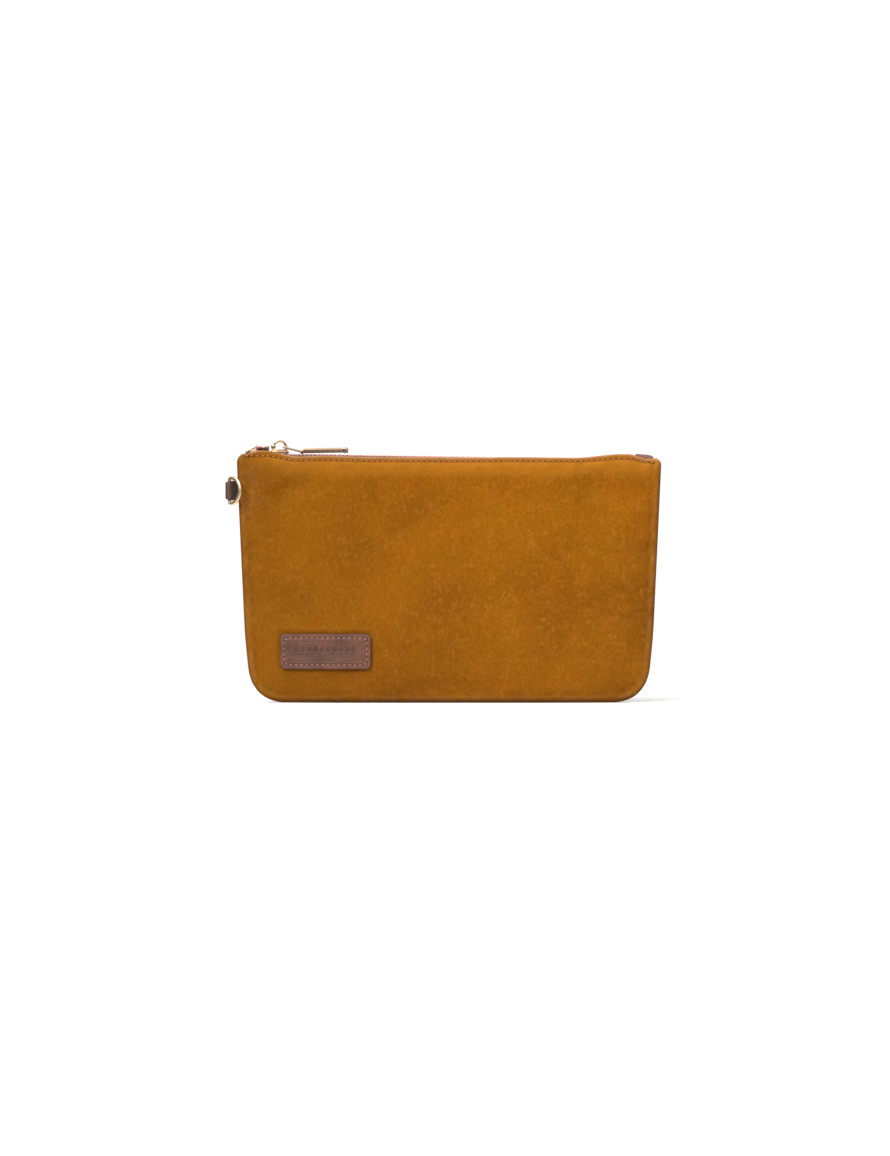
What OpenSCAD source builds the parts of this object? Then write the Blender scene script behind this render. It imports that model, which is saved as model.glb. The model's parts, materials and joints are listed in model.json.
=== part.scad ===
// Flat zip pouch with a wrist-strap D-ring, built as its separate sewn and cast pieces.
// +Z is up, -Y is the front and +X is the front's right; the origin is the middle of the foot.

/* [Pouch] */
// Width across the top edge
top_w = 240.8; // [226:0.2:260]
// Width across the foot, before its corners are rounded
foot_w = 227.8; // [212:0.2:236]
// Further narrowing of each side towards the foot
foot_narrow = 1.3; // [0:0.1:2]
// Height of the top edge
pouch_h = 138.6; // [130:0.2:150]
// Radius of the rounded bottom corners
corner_r = 22.5; // [18:0.5:28]
// Radius of the small top corners
top_corner_r = 4.5; // [4:0.5:5]
// Half thickness at the fullest part of the belly
belly_t = 9; // [8:0.1:12]
// Half thickness along the mouth
mouth_t = 6.4; // [6.2:0.1:7.4]
// Half width of the flat foot
foot_t = 4; // [3:0.1:5]

/* [Layers] */
// Thickness of the suede shell
suede_t = 1.2; // [1:0.1:1.4]
// Thickness of the stiffener behind the suede
interlining_t = 0.5; // [0.4:0.1:0.6]
// Thickness of the lining cloth
lining_t = 0.4; // [0.3:0.1:0.5]
// Thickness of the turned seam between the two halves
seam_t = 1; // [0.8:0.1:1.2]

/* [Top edge] */
// Rise of the edge at its left end, over the zip's first stops
left_rise = 4.2; // [0:0.1:4.6]
// Share of that rise lost again towards the left corner
left_fall = 0.45; // [0:0.05:0.6]
// Rise of the edge before its right end
right_rise = 2; // [0:0.1:2.4]
// Dip of the edge beside the end tab
right_dip = 1; // [0:0.1:1.5]
// Distance of the top stitching below the edge
stitch_drop = 2.3; // [2:0.1:4]
// Pitch of the top stitching
stitch_pitch = 3.2; // [2.8:0.1:4]

/* [Zip] */
// Height of the chain at the middle of the pouch
chain_h = 138.4; // [137.5:0.1:139]
// Fall of the chain towards the right
zip_fall = 0.9; // [0:0.1:1]
// Distance between neighbouring teeth on one tape
tooth_pitch = 2.3; // [2:0.1:2.8]
// Place of the closed slider along the width
slider_x = -96; // [-97:0.5:-94]
// Length of the slider
slider_l = 10.5; // [9.5:0.5:11]
// Width of the slider
slider_w = 7.2; // [7:0.1:7.4]

/* [Pull] */
// Outer diameter of the round hoop on the slider
hoop_d = 8.8; // [8.4:0.1:9]
// Wire diameter of the hoop
hoop_wire_d = 1.5; // [1.4:0.1:1.6]
// Wire diameter of the link
link_wire_d = 1.1; // [1:0.1:1.2]
// Length of the pull's bar beyond its eye
bar_l = 24.8; // [18:0.2:30]
// Width of the bar
bar_w = 5; // [4.4:0.1:5.4]
// Thickness of the bar
bar_t = 2.8; // [2.4:0.1:2.9]

/* [D-ring] */
// Height of the ring between its wire centres
ring_h = 14.6; // [14:0.1:16]
// Wire diameter of the ring
ring_wire_d = 1.8; // [1.6:0.1:2]
// Turn of the resting ring from the pouch's width towards its front
ring_turn = 48; // [45:1:90]
// Height of the ring's middle
ring_z = 120; // [116:0.5:121]
// Height of the leather loop
loop_h = 11; // [9:0.5:11.5]

/* [Patch] */
// Width of the patch
patch_w = 51.5; // [40:0.5:60]
// Height of the patch
patch_h = 20; // [16:0.5:24]
// Left edge of the patch
patch_x = -95.4; // [-100:0.2:-80]
// Lower edge of the patch
patch_z = 19; // [16:0.5:30]
// Thickness of the patch leather
patch_t = 1.6; // [1.2:0.1:2]

/* [Hidden] */
$fn = 48;

suede = "#a5651a";
cloth = "#5d4632";
stiffener = "#d8d2c4";
brown_leather = "#775140";
brass = "#e0c79f";
thread = "#b06a28";

// Insets of the surfaces between the layers, counted from the outside of the suede
skin_1 = suede_t;
skin_2 = skin_1 + interlining_t;
skin_3 = skin_2 + lining_t;
pocket_t = 0.4;

// Rounding of the foot, tuck of the bottom seam, and the belly's place up the height
foot_round = 3;
seam_tuck_z = 0.15;
seam_tuck_x = 0.3;
belly_at = 0.36;
rise_from = 122;

// The stiffener stops where the zip tape starts, and the lining is turned in under the slider
tape_foot_drop = 13;
lining_drop = 7;

// Grid of the sewn layers: columns crowd towards the side seams, rows towards the corners
col_step = 5;
cols = 180 / col_step;
corner_rows = 5;
side_rows = 4;
top_rows = 3;
tape_foot = pouch_h - tape_foot_drop;
row_z = concat(
    [0],
    [for (k = [0:corner_rows]) corner_r * (1 - cos(90 * k / corner_rows))],
    [for (k = [1:side_rows]) corner_r + (tape_foot - corner_r) * k / side_rows],
    [pouch_h - lining_drop],
    [for (k = [0:top_rows]) pouch_h - top_corner_r * (1 - sin(90 * k / top_rows))]
);
last_row = len(row_z) - 1;
tape_row = corner_rows + side_rows + 1;
lining_row = tape_row + 1;
flange_row = lining_row + 1;

function clamp01(v) = min(max(v, 0), 1);
// Smooth step from 0 at a to 1 at b
function ramp(a, b, v) = let (t = clamp01((v - a) / (b - a))) t * t * (3 - 2 * t);

// Half width of the outline at height z: a straight taper less the narrowing and the corners
function bottom_cut(z) =
    z >= corner_r ? 0 : corner_r * (1 - pow(1 - pow(1 - z / corner_r, 2.5), 0.4));
function top_cut(z) = let (s = z - pouch_h + top_corner_r)
    s <= 0 ? 0 : top_corner_r - sqrt(max(top_corner_r * top_corner_r - s * s, 0));
function half_w(z) = foot_w / 2 + (top_w - foot_w) / 2 * z / pouch_h
    - foot_narrow * ramp(2 * corner_r, corner_r / 3, z) - bottom_cut(z) - top_cut(z);

// Half thickness at the middle of the width
function full_depth(s) = s < belly_at
    ? belly_t - (belly_t - foot_t - foot_round) * pow((belly_at - s) / belly_at, 2)
    : mouth_t + (belly_t - mouth_t) * (1 + cos(180 * (s - belly_at) / (1 - belly_at))) / 2;
function foot_cut(z) =
    z >= foot_round ? 0 : foot_round * (1 - sqrt(max(1 - pow(1 - z / foot_round, 2), 0)));
function depth(z) = full_depth(z / pouch_h) - foot_cut(z);

// Share of that depth left at u, where u is 0 in the middle and 1 on the side seam
function swell(u, z) = sqrt(max(1 - pow(abs(u), 3 + 6 * pow(z / pouch_h, 3)), 0));

// Waves of the top edge, which fade out down the pouch
function edge_rise(x) = left_rise * ramp(-84, -104, x) * (1 - left_fall * ramp(-107, -116, x))
    + right_rise * ramp(72, 98, x) * (1 - ramp(101, 109, x))
    - right_dip * ramp(102, 112, x) * (1 - ramp(114, 119.5, x));
function rise_share(z) = pow(clamp01((z - rise_from) / (pouch_h - rise_from)), 2);

// Point of the surface that lies at the given inset, on the front half
function skin(inset, u, z) = let (
    x = (half_w(z) - inset) * u,
    t = seam_t / 2 + (depth(z) - inset - seam_t / 2) * swell(u, z)
) [x, -t, z + inset * (1 - z / pouch_h) + edge_rise(x) * rise_share(z)];
// The first row is the tucked seam line under the foot
function seam_point(inset, u) = [
    (half_w(0) - inset - seam_tuck_x) * u, -seam_t / 2, inset + seam_tuck_z
];
function col_u(i) = sin(col_step * i - 90);
function grid_point(inset, i, j) =
    j == 0 ? seam_point(inset, col_u(i)) : skin(inset, col_u(i), row_z[j]);

// Two triangles on the corners a, b, c, d
function quad(a, b, c, d) = [[a, b, c], [a, c, d]];
function flat(lists) = [for (l = lists) each l];

// Closed slab between two grids of points with the same number of columns and rows
module slab(outer, inner, nc, nr) {
    n = nc * nr;
    function at(i, j) = j * nc + i;
    faces = flat(concat(
        [for (j = [0:nr - 2], i = [0:nc - 2])
            quad(at(i, j), at(i, j + 1), at(i + 1, j + 1), at(i + 1, j))],
        [for (j = [0:nr - 2], i = [0:nc - 2])
            quad(n + at(i, j), n + at(i + 1, j), n + at(i + 1, j + 1), n + at(i, j + 1))],
        [for (i = [0:nc - 2])
            quad(at(i, 0), at(i + 1, 0), n + at(i + 1, 0), n + at(i, 0))],
        [for (i = [0:nc - 2])
            quad(at(i + 1, nr - 1), at(i, nr - 1), n + at(i, nr - 1), n + at(i + 1, nr - 1))],
        [for (j = [0:nr - 2])
            quad(at(0, j + 1), at(0, j), n + at(0, j), n + at(0, j + 1))],
        [for (j = [0:nr - 2])
            quad(at(nc - 1, j), at(nc - 1, j + 1), n + at(nc - 1, j + 1), n + at(nc - 1, j))]
    ));
    polyhedron(points = concat(outer, inner), faces = faces, convexity = 4);
}

// Front half of one layer, between two insets, over a range of rows and columns
module layer(inset_0, inset_1, row_0, row_1, col_0 = 0, col_1 = cols) {
    slab(
        [for (j = [row_0:row_1], i = [col_0:col_1]) grid_point(inset_0, i, j)],
        [for (j = [row_0:row_1], i = [col_0:col_1]) grid_point(inset_1, i, j)],
        col_1 - col_0 + 1, row_1 - row_0 + 1
    );
}

module to_back() mirror([0, 1, 0]) children();

// One visible length of thread from a to b
module stitch(a, b, r) {
    v = b - a;
    translate(a)
        rotate([0, acos(v.z / norm(v)), atan2(v.y, v.x)])
        cylinder(r = r, h = norm(v), $fn = 16);
}

// ---------------------------------------------------------------- shell and lining

module front_panel() color(suede) layer(0, skin_1, 0, last_row);

module back_panel() color(suede) to_back() layer(0, skin_1, 0, last_row);

module front_interlining() color(stiffener) layer(skin_1, skin_2, 0, tape_row);

module back_interlining() color(stiffener) to_back() layer(skin_1, skin_2, 0, tape_row);

module front_lining() color(cloth) layer(skin_2, skin_3, 0, lining_row);

module back_lining() color(cloth) to_back() layer(skin_2, skin_3, 0, lining_row);

// Outline of the seam at one inset, from the left top down and round to the right top
function seam_side(inset) = [
    for (z = concat([for (k = [0:12]) corner_r * (1 - cos(7.5 * k))], [pouch_h - top_corner_r]))
        [half_w(z) - inset, z + inset * (1 - z / pouch_h)]
];
function seam_outline(inset) = let (right = seam_side(inset), n = len(right)) concat(
    [for (k = [n - 1:-1:0]) [-right[k].x, right[k].y]], right
);

module turned_seam() color(suede) difference() {
    rotate([90, 0, 0]) linear_extrude(seam_t, center = true) polygon(concat(
        seam_outline(0),
        let (inner = seam_outline(skin_3)) [for (k = [len(inner) - 1:-1:0]) inner[k]]
    ));
    translate([-top_w / 2 - 5, -seam_t, ring_z - loop_h / 2 - 0.1])
        cube([15, 2 * seam_t, loop_h + 0.2]);
}

// ---------------------------------------------------------------- slip pocket

pocket_rows = [6, tape_row - 1];
pocket_cols = [12, cols - 12];

module slip_pocket() color(cloth) to_back()
    layer(skin_3, skin_3 + pocket_t, pocket_rows[0], pocket_rows[1], pocket_cols[0], pocket_cols[1]);

thread_r = 0.3;
pocket_stitch_pitch = 4;
pocket_stitch_in = 2;

function pocket_point(x, z) = let (p = skin(skin_3 + pocket_t, x / (half_w(z) - skin_3), z))
    [p.x, p.y + thread_r + 0.2, p.z];

module slip_pocket_stitching() {
    x_max = (half_w(row_z[pocket_rows[0]]) - skin_3) * col_u(pocket_cols[1]) - pocket_stitch_in;
    z_min = row_z[pocket_rows[0]] + pocket_stitch_in;
    z_max = row_z[pocket_rows[1]] - pocket_stitch_in;
    across = floor(2 * x_max / pocket_stitch_pitch);
    up = floor((z_max - z_min) / pocket_stitch_pitch);
    color(thread) to_back() {
        for (k = [0:across - 1]) {
            x = -x_max + pocket_stitch_pitch * (k + 0.5);
            stitch(pocket_point(x, z_min), pocket_point(x + 2.6, z_min), thread_r);
        }
        for (k = [0:up - 1], side = [-1, 1]) {
            z = z_min + pocket_stitch_pitch * (k + 0.5);
            stitch(pocket_point(side * x_max, z), pocket_point(side * x_max, z + 2.6), thread_r);
        }
    }
}

// ---------------------------------------------------------------- top stitching

top_thread_r = 0.35;
top_stitch_l = 2.3;
top_stitch_end = 112;
top_stitches = floor(2 * top_stitch_end / stitch_pitch);

function top_point(x) = let (
    z = pouch_h - stitch_drop,
    p = skin(0, x / half_w(z), z)
) [p.x, p.y - top_thread_r - 0.03, p.z];

module top_stitching_row()
    for (k = [0:top_stitches - 1]) {
        x = (k - (top_stitches - 1) / 2) * stitch_pitch;
        stitch(top_point(x - top_stitch_l / 2), top_point(x + top_stitch_l / 2), top_thread_r);
    }

module top_stitching_front() color(thread) top_stitching_row();

module top_stitching_back() color(thread) to_back() top_stitching_row();

// ---------------------------------------------------------------- zip

// The chain runs straight, except that both its ends curl up beyond the slider's travel
tape_col_0 = 4;
tape_col_1 = cols - 4;
tape_t = 0.5;
tape_tip = 0.9;
curl_left = 4;
curl_left_l = 16;
curl_right = 1.2;
curl_right_l = 10;
chain_row = pouch_h - top_corner_r;
chain_half = half_w(chain_row) - skin_1;
bend_left = -chain_half * sin(60);
bend_right = chain_half * sin(55);

function curled_z(x) = chain_h - x * tan(zip_fall)
    + (x < bend_left ? curl_left * sin(180 * (bend_left - x) / curl_left_l) : 0)
    + (x > bend_right ? curl_right * ramp(bend_right, bend_right + curl_right_l, x) : 0);
chain_path = [
    for (i = [tape_col_0:tape_col_1]) let (x = chain_half * col_u(i)) [x, curled_z(x)]
];
function chain_z(x) = lookup(x, chain_path);
function chain_tilt(x) = atan((chain_z(x - 0.1) - chain_z(x + 0.1)) / 0.2);

module on_chain(x) translate([x, 0, chain_z(x)]) rotate([0, chain_tilt(x), 0]) children();

// Distance of the suede's inner face from the middle plane at a place on the mouth
function wall_t(x, z) = let (v = min(z - edge_rise(x), pouch_h))
    seam_t / 2 + (depth(v) - skin_1 - seam_t / 2) * swell(x / (half_w(v) - skin_1), v);

// Section of the front tape at one column: a skirt behind the suede and a flange to the teeth
tape_gap = 0.05;
flange_gap = 0.15;
function tape_section(i) = let (
    a = grid_point(skin_1 + tape_gap, i, flange_row),
    top = chain_z(a.x) + tape_t / 2,
    under = chain_z(a.x) - tape_t / 2,
    edge = -wall_t(a.x, top) + flange_gap
) concat(
    [for (j = [tape_row:flange_row]) grid_point(skin_1 + tape_gap, i, j)],
    [[a.x, edge, top], [a.x, -tape_tip, top]],
    [[a.x, -tape_tip, under], [a.x, edge + tape_t, under]],
    [for (j = [flange_row:-1:tape_row]) grid_point(skin_2, i, j)]
);

module zip_tape() {
    n = len(tape_section(tape_col_0));
    last = tape_col_1 - tape_col_0;
    cap = [for (k = [0:n / 2 - 2]) [k, k + 1, n - 2 - k, n - 1 - k]];
    faces = flat(concat(
        [for (s = [0:last - 1], k = [0:n - 1]) let (m = (k + 1) % n)
            quad(s * n + k, s * n + m, (s + 1) * n + m, (s + 1) * n + k)],
        [for (q = cap) quad(q[3], q[2], q[1], q[0])],
        [for (q = cap)
            quad(last * n + q[0], last * n + q[1], last * n + q[2], last * n + q[3])]
    ));
    polyhedron(
        points = flat([for (i = [tape_col_0:tape_col_1]) tape_section(i)]),
        faces = faces, convexity = 6
    );
}

module zip_tape_front() color(cloth) zip_tape();

module zip_tape_back() color(cloth) to_back() zip_tape();

tooth_w = 1.1;
tooth_t = 2;
tooth_back = 2.4;
tooth_head = 0.5;
jaw_gap = 0.6;
first_tooth = slider_x - 2;
stop_l = 2;
last_tooth = bend_right - stop_l - 0.8;
teeth = floor((last_tooth - first_tooth) / tooth_pitch);

// A piece that grips the edge of the front tape: head, two jaws and the slot between them
module gripper(w, back, head, t) rotate([90, 0, 90]) linear_extrude(w, center = true)
    polygon([
        [-back, jaw_gap / 2], [-tape_tip + 0.05, jaw_gap / 2], [-tape_tip + 0.05, -jaw_gap / 2],
        [-back, -jaw_gap / 2], [-back, -t / 2 + 0.2], [-back + 0.3, -t / 2], [head - 0.3, -t / 2],
        [head, -t / 2 + 0.3], [head, t / 2 - 0.3], [head - 0.3, t / 2], [-back + 0.3, t / 2],
        [-back, t / 2 - 0.2]
    ]);

module teeth_row(start) for (k = [0:teeth - 1])
    on_chain(start + k * tooth_pitch) gripper(tooth_w, tooth_back, tooth_head, tooth_t);

module zip_teeth_front() color(brass) teeth_row(first_tooth);

module zip_teeth_back() color(brass) to_back() teeth_row(first_tooth + tooth_pitch / 2);

// One stop on each tape, left of the closed slider
stop_gap = 4.2;
stop_x = slider_x - slider_l / 2 - stop_l / 2 - stop_gap;

module top_stop() on_chain(stop_x) gripper(stop_l, 2.4, -0.55, 2.2);

module zip_top_stops() color(brass) {
    top_stop();
    to_back() top_stop();
}

// One stop across both tapes at the right end of the teeth
module zip_bottom_stop() color(brass) on_chain(bend_right - stop_l / 2 - 0.1) union() {
    gripper(stop_l, 2.2, 0, 2.2);
    to_back() gripper(stop_l, 2.2, 0, 2.2);
}

// A folded piece that wraps both tape ends, with a slot for them. Beyond the tapes it is closed,
// and there it narrows and rises clear of the side seam
wrap_end = chain_half * sin(75) + 0.8;
wrap_mid_y = 1.8;
wrap_end_y = 1.2;
wrap_end_z = 0.5;

module tape_wrap(xs, closed_x, above, below, half_y) {
    slot = jaw_gap / 2;
    top = [for (x = xs) [x, chain_z(x) + above]];
    bottom = [for (x = xs) [x, chain_z(x) - below]];
    slot_top = [for (x = xs) [x, chain_z(x) + slot]];
    slot_bottom = [for (x = xs) [x, chain_z(x) - slot]];
    n = len(xs) - 1;
    end_z = curled_z(closed_x);
    intersection() {
        rotate([90, 0, 0]) linear_extrude(2 * half_y, center = true) polygon(concat(
            [[closed_x, end_z + wrap_end_z], [closed_x, end_z + above * 0.7]], top,
            [for (k = [n:-1:0]) slot_top[k]], slot_bottom,
            [for (k = [n:-1:0]) bottom[k]]
        ));
        translate([0, 0, end_z - 10]) linear_extrude(20) polygon([
            [closed_x, wrap_end_y], [xs[0], wrap_mid_y], [xs[n], half_y],
            [xs[n], -half_y], [xs[0], -wrap_mid_y], [closed_x, -wrap_end_y]
        ]);
    }
}

clip_half_y = 2.3;

module zip_start_clip() color(brass) tape_wrap(
    [for (i = [tape_col_0:0.25:tape_col_0 + 0.75]) chain_half * col_u(i)],
    -wrap_end, 1.5, 1.1, clip_half_y);

tab_half_y = 2.4;

module zip_end_tab() color(brown_leather) tape_wrap(
    [for (i = [tape_col_0:0.5:tape_col_0 + 1.5]) -chain_half * col_u(i)],
    wrap_end, 2.3, 1.5, tab_half_y);

// ---------------------------------------------------------------- slider and pull

plate_z = 1.2;
plate_t = 1.5;
slider_z = chain_z(slider_x);
channel_y = 2.75;
tape_slot = 0.45;
hoop_r = (hoop_d - hoop_wire_d) / 2;
hoop_z = plate_z + plate_t + 1.9;
crown_l = 9;
crown_w = 2.6;
crown_h = 0.9;

// Places in the slider's own frame: x along the chain, z up from its middle
eye_turn = 5;
eye_r = hoop_r - hoop_wire_d / 2 - link_wire_d / 2 - 0.05;
eye = [eye_r * cos(eye_turn), hoop_z + eye_r * sin(eye_turn)];
pivot = [12.7, 2.3];
link_half_y = 1.5 + link_wire_d / 2;

module on_slider() translate([slider_x, 0, slider_z]) rotate([0, zip_fall, 0]) children();

slider_side = [
    [-slider_l / 2, 2.2], [-slider_l / 2 + 0.9, slider_w / 2 - 0.2],
    [-slider_l / 2 + 2, slider_w / 2], [slider_l / 2 - 2.4, slider_w / 2 - 0.1],
    [slider_l / 2 - 0.8, slider_w / 2 - 0.6], [slider_l / 2, 2.1]
];

module slider_plate() linear_extrude(plate_t) polygon(concat(
    slider_side, [for (k = [len(slider_side) - 1:-1:0]) [slider_side[k].x, -slider_side[k].y]]
));

// Both side flanges of one plate, left open in the middle for the tapes
module slider_flanges() for (side = [-1, 1])
    translate([-2.6, side > 0 ? channel_y : -slider_w / 2 + 0.15, tape_slot])
        cube([5.2, slider_w / 2 - 0.15 - channel_y, plate_z - tape_slot + 0.1]);

module hoop_wire(d) translate([0, 0, hoop_z]) rotate([90, 0, 0])
    rotate_extrude($fn = 64) translate([hoop_r, 0]) circle(d = d, $fn = 32);

// The crown that holds the hoop's feet
module slider_crown() difference() {
    translate([-crown_l / 2, crown_w / 2, plate_z + plate_t - 0.1]) rotate([90, 0, 0])
        linear_extrude(crown_w) polygon([
            [0, 0], [crown_l, 0], [crown_l, 0.2], [crown_l - 0.9, crown_h + 0.1],
            [0.9, crown_h + 0.1], [0, 0.2]
        ]);
    hoop_wire(hoop_wire_d + 0.04);
}

module slider_body() color(brass) on_slider() {
    translate([0, 0, plate_z]) slider_plate();
    translate([0, 0, -plate_z - plate_t]) slider_plate();
    slider_flanges();
    mirror([0, 0, 1]) slider_flanges();
    slider_crown();
    // The wedge that parts the two rows of teeth
    translate([0, 0, -plate_z - 0.1]) linear_extrude(2 * plate_z + 0.2)
        polygon([[-slider_l / 2 + 0.3, 0.7], [-slider_l / 2 + 0.3, -0.7], [-3.4, -0.7], [-2.7, 0],
            [-3.4, 0.7]]);
}

module slider_hoop() color(brass) on_slider() difference() {
    hoop_wire(hoop_wire_d);
    translate([-hoop_d, -hoop_d, -hoop_d])
        cube([2 * hoop_d, 2 * hoop_d, hoop_d + plate_z + plate_t]);
}

// Wire link: its near end lies inside the hoop, its far end carries the bar
module pull_link() {
    v = pivot - eye;
    l = norm(v);
    r = link_wire_d / 2;
    b = 0.6;
    color(brass) on_slider() translate([eye.x, 0, eye.y]) rotate([0, -atan2(v.y, v.x), 0]) {
        for (side = [-1, 1])
            translate([b, side * link_half_y, 0]) rotate([0, 90, 0]) cylinder(r = r, h = l - 2 * b);
        for (x = [0, l])
            translate([x, 0, 0]) rotate([90, 0, 0])
                cylinder(r = r, h = 2 * (link_half_y - b), center = true);
        for (x = [b, l - b], side = [-1, 1])
            translate([x, side * (link_half_y - b), 0])
                rotate([0, 0, x == b ? (side > 0 ? 90 : 180) : (side > 0 ? 0 : 270)])
                rotate_extrude(angle = 90) translate([b, 0]) circle(r = r, $fn = 24);
    }
}

// Cast bar with an eye at its near end and a slightly fuller tip
eye_wall_r = 1.15;
bar_start = 1.35;
bar_rise = 0.6;
bar_tilt = 1.5;
tip_l = 2.8;

module bar_stock(x, l, w, t, c) translate([x, 0, bar_rise]) rotate([90, 0, 90]) linear_extrude(l)
    polygon([
        [-w / 2 + c, -t / 2], [w / 2 - c, -t / 2], [w / 2, -t / 2 + c], [w / 2, t / 2 - c],
        [w / 2 - c, t / 2], [-w / 2 + c, t / 2], [-w / 2, t / 2 - c], [-w / 2, -t / 2 + c]
    ]);

module pull_bar() color(brass) on_slider()
    translate([pivot.x, 0, pivot.y]) rotate([0, -bar_tilt, 0]) difference() {
        union() {
            rotate([90, 0, 0]) cylinder(r = eye_wall_r, h = 2.7, center = true);
            translate([0, -1.35, -eye_wall_r]) cube([bar_start + 0.3, 2.7, 2 * eye_wall_r]);
            bar_stock(bar_start, bar_l - tip_l, bar_w, bar_t, 0.5);
            bar_stock(bar_start + bar_l - tip_l, tip_l, bar_w + 0.4, bar_t + 0.4, 0.6);
        }
        rotate([90, 0, 0]) cylinder(d = link_wire_d + 0.14, h = 4, center = true);
    }

// ---------------------------------------------------------------- D-ring and its loop

ring_x = -top_w / 2 - 4;
ring_bend = 1.2;
ring_shoulder = 2;
ring_r = ring_h / 2;
loop_leather = 1.2;
bore_r = ring_wire_d / 2 + 0.06;
loop_r = bore_r + loop_leather;

// A quarter, half or other share of a wire bend in the XZ plane
module wire_bend(r, from, angle) rotate([90, 0, 0]) rotate([0, 0, from])
    rotate_extrude(angle = angle) translate([r, 0]) circle(d = ring_wire_d, $fn = 32);

module d_ring() color(brass) translate([ring_x, 0, ring_z]) rotate([0, 0, -ring_turn]) {
    cylinder(d = ring_wire_d, h = ring_h - 2 * ring_bend, center = true);
    translate([ring_bend, 0, ring_r - ring_bend]) wire_bend(ring_bend, 90, 90);
    translate([ring_bend, 0, ring_bend - ring_r]) wire_bend(ring_bend, 180, 90);
    for (side = [-1, 1])
        translate([ring_bend, 0, side * ring_r]) rotate([0, 90, 0])
            cylinder(d = ring_wire_d, h = ring_shoulder - ring_bend);
    translate([ring_shoulder, 0, 0]) wire_bend(ring_r, -90, 180);
}

// Leather folded round the ring's bar, its skived ends sewn into the side seam
loop_neck = 4.6;
loop_end = loop_neck + 6;

module d_ring_loop() color(brown_leather) translate([ring_x, 0, ring_z]) difference() {
    union() {
        cylinder(r = loop_r, h = loop_h, center = true);
        linear_extrude(loop_h, center = true) polygon([
            [0, loop_r * 0.85], [loop_neck, seam_t / 2 + 0.1], [loop_neck, seam_t / 2 - 0.02],
            [loop_end, seam_t / 2 - 0.02], [loop_end, -seam_t / 2 + 0.02],
            [loop_neck, -seam_t / 2 + 0.02], [loop_neck, -seam_t / 2 - 0.1], [0, -loop_r * 0.85]
        ]);
    }
    cylinder(r = bore_r, h = loop_h + 2, center = true);
}

// ---------------------------------------------------------------- patch

patch_corner = 2.5;
patch_gap = 0.05;
patch_cols = 14;
patch_ring = 3;
patch_stitch_in = 2;
patch_pitch = 3;
patch_stitch_l = 2.1;

// Point over the front, at a distance out from the suede
function over_front(x, z, out) = [x, skin(0, x / half_w(z), z).y - out, z];
patch_rows = concat(
    [for (k = [0:patch_ring]) patch_corner * (1 - cos(90 * k / patch_ring))],
    [patch_h / 2],
    [for (k = [patch_ring:-1:0]) patch_h - patch_corner * (1 - cos(90 * k / patch_ring))]
);
function patch_cut(v) = let (s = patch_corner - min(v, patch_h - v))
    s <= 0 ? 0 : patch_corner - sqrt(max(patch_corner * patch_corner - s * s, 0));
function patch_grid(out) = [
    for (v = patch_rows, i = [0:patch_cols])
        over_front(
            patch_x + patch_w / 2 + (patch_w / 2 - patch_cut(v)) * (2 * i / patch_cols - 1),
            patch_z + v, out)
];

module name_patch() color(brown_leather)
    slab(patch_grid(patch_gap + patch_t), patch_grid(patch_gap), patch_cols + 1, len(patch_rows));

module patch_stitch(x0, z0, x1, z1) {
    out = patch_gap + patch_t + thread_r + 0.03;
    stitch(over_front(x0, z0, out), over_front(x1, z1, out), thread_r);
}

module name_patch_stitching() {
    run_w = patch_w - 2 * patch_stitch_in;
    run_h = patch_h - 2 * patch_stitch_in;
    across = floor(run_w / patch_pitch);
    up = floor(run_h / patch_pitch);
    color(thread) {
        for (k = [0:across - 1], z = [patch_stitch_in, patch_h - patch_stitch_in]) {
            x = patch_x + patch_w / 2 + (k - (across - 1) / 2) * patch_pitch;
            patch_stitch(x - patch_stitch_l / 2, patch_z + z, x + patch_stitch_l / 2, patch_z + z);
        }
        for (k = [0:up - 1], x = [patch_stitch_in, patch_w - patch_stitch_in]) {
            z = patch_z + patch_h / 2 + (k - (up - 1) / 2) * patch_pitch;
            patch_stitch(patch_x + x, z - patch_stitch_l / 2, patch_x + x, z + patch_stitch_l / 2);
        }
    }
}

front_panel();
back_panel();
turned_seam();
front_interlining();
back_interlining();
front_lining();
back_lining();
slip_pocket();
slip_pocket_stitching();
top_stitching_front();
top_stitching_back();
zip_tape_front();
zip_tape_back();
zip_teeth_front();
zip_teeth_back();
zip_top_stops();
zip_bottom_stop();
zip_start_clip();
zip_end_tab();
slider_body();
slider_hoop();
pull_link();
pull_bar();
d_ring();
d_ring_loop();
name_patch();
name_patch_stitching();
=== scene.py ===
import json
import math

import bmesh
import bpy
import numpy as np
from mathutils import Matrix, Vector


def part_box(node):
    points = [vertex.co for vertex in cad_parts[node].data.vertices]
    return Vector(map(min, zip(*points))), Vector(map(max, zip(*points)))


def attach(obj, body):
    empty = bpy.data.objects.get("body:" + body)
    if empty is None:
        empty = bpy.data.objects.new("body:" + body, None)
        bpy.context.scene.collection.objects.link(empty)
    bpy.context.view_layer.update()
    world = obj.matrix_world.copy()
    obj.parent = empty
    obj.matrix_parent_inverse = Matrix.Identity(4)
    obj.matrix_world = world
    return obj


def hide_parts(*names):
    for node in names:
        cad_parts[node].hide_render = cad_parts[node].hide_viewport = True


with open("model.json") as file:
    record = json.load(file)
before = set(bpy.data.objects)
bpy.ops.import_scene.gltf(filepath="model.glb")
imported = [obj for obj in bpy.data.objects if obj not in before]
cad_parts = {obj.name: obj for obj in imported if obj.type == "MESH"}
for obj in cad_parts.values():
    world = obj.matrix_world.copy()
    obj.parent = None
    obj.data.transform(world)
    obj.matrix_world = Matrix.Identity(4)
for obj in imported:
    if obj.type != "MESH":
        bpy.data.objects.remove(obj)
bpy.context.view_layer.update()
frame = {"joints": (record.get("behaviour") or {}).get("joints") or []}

JOINTS = {joint["name"]: joint for joint in frame["joints"]}
M = 0.001  # shapes are worked out in millimetres and made in metres


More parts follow.
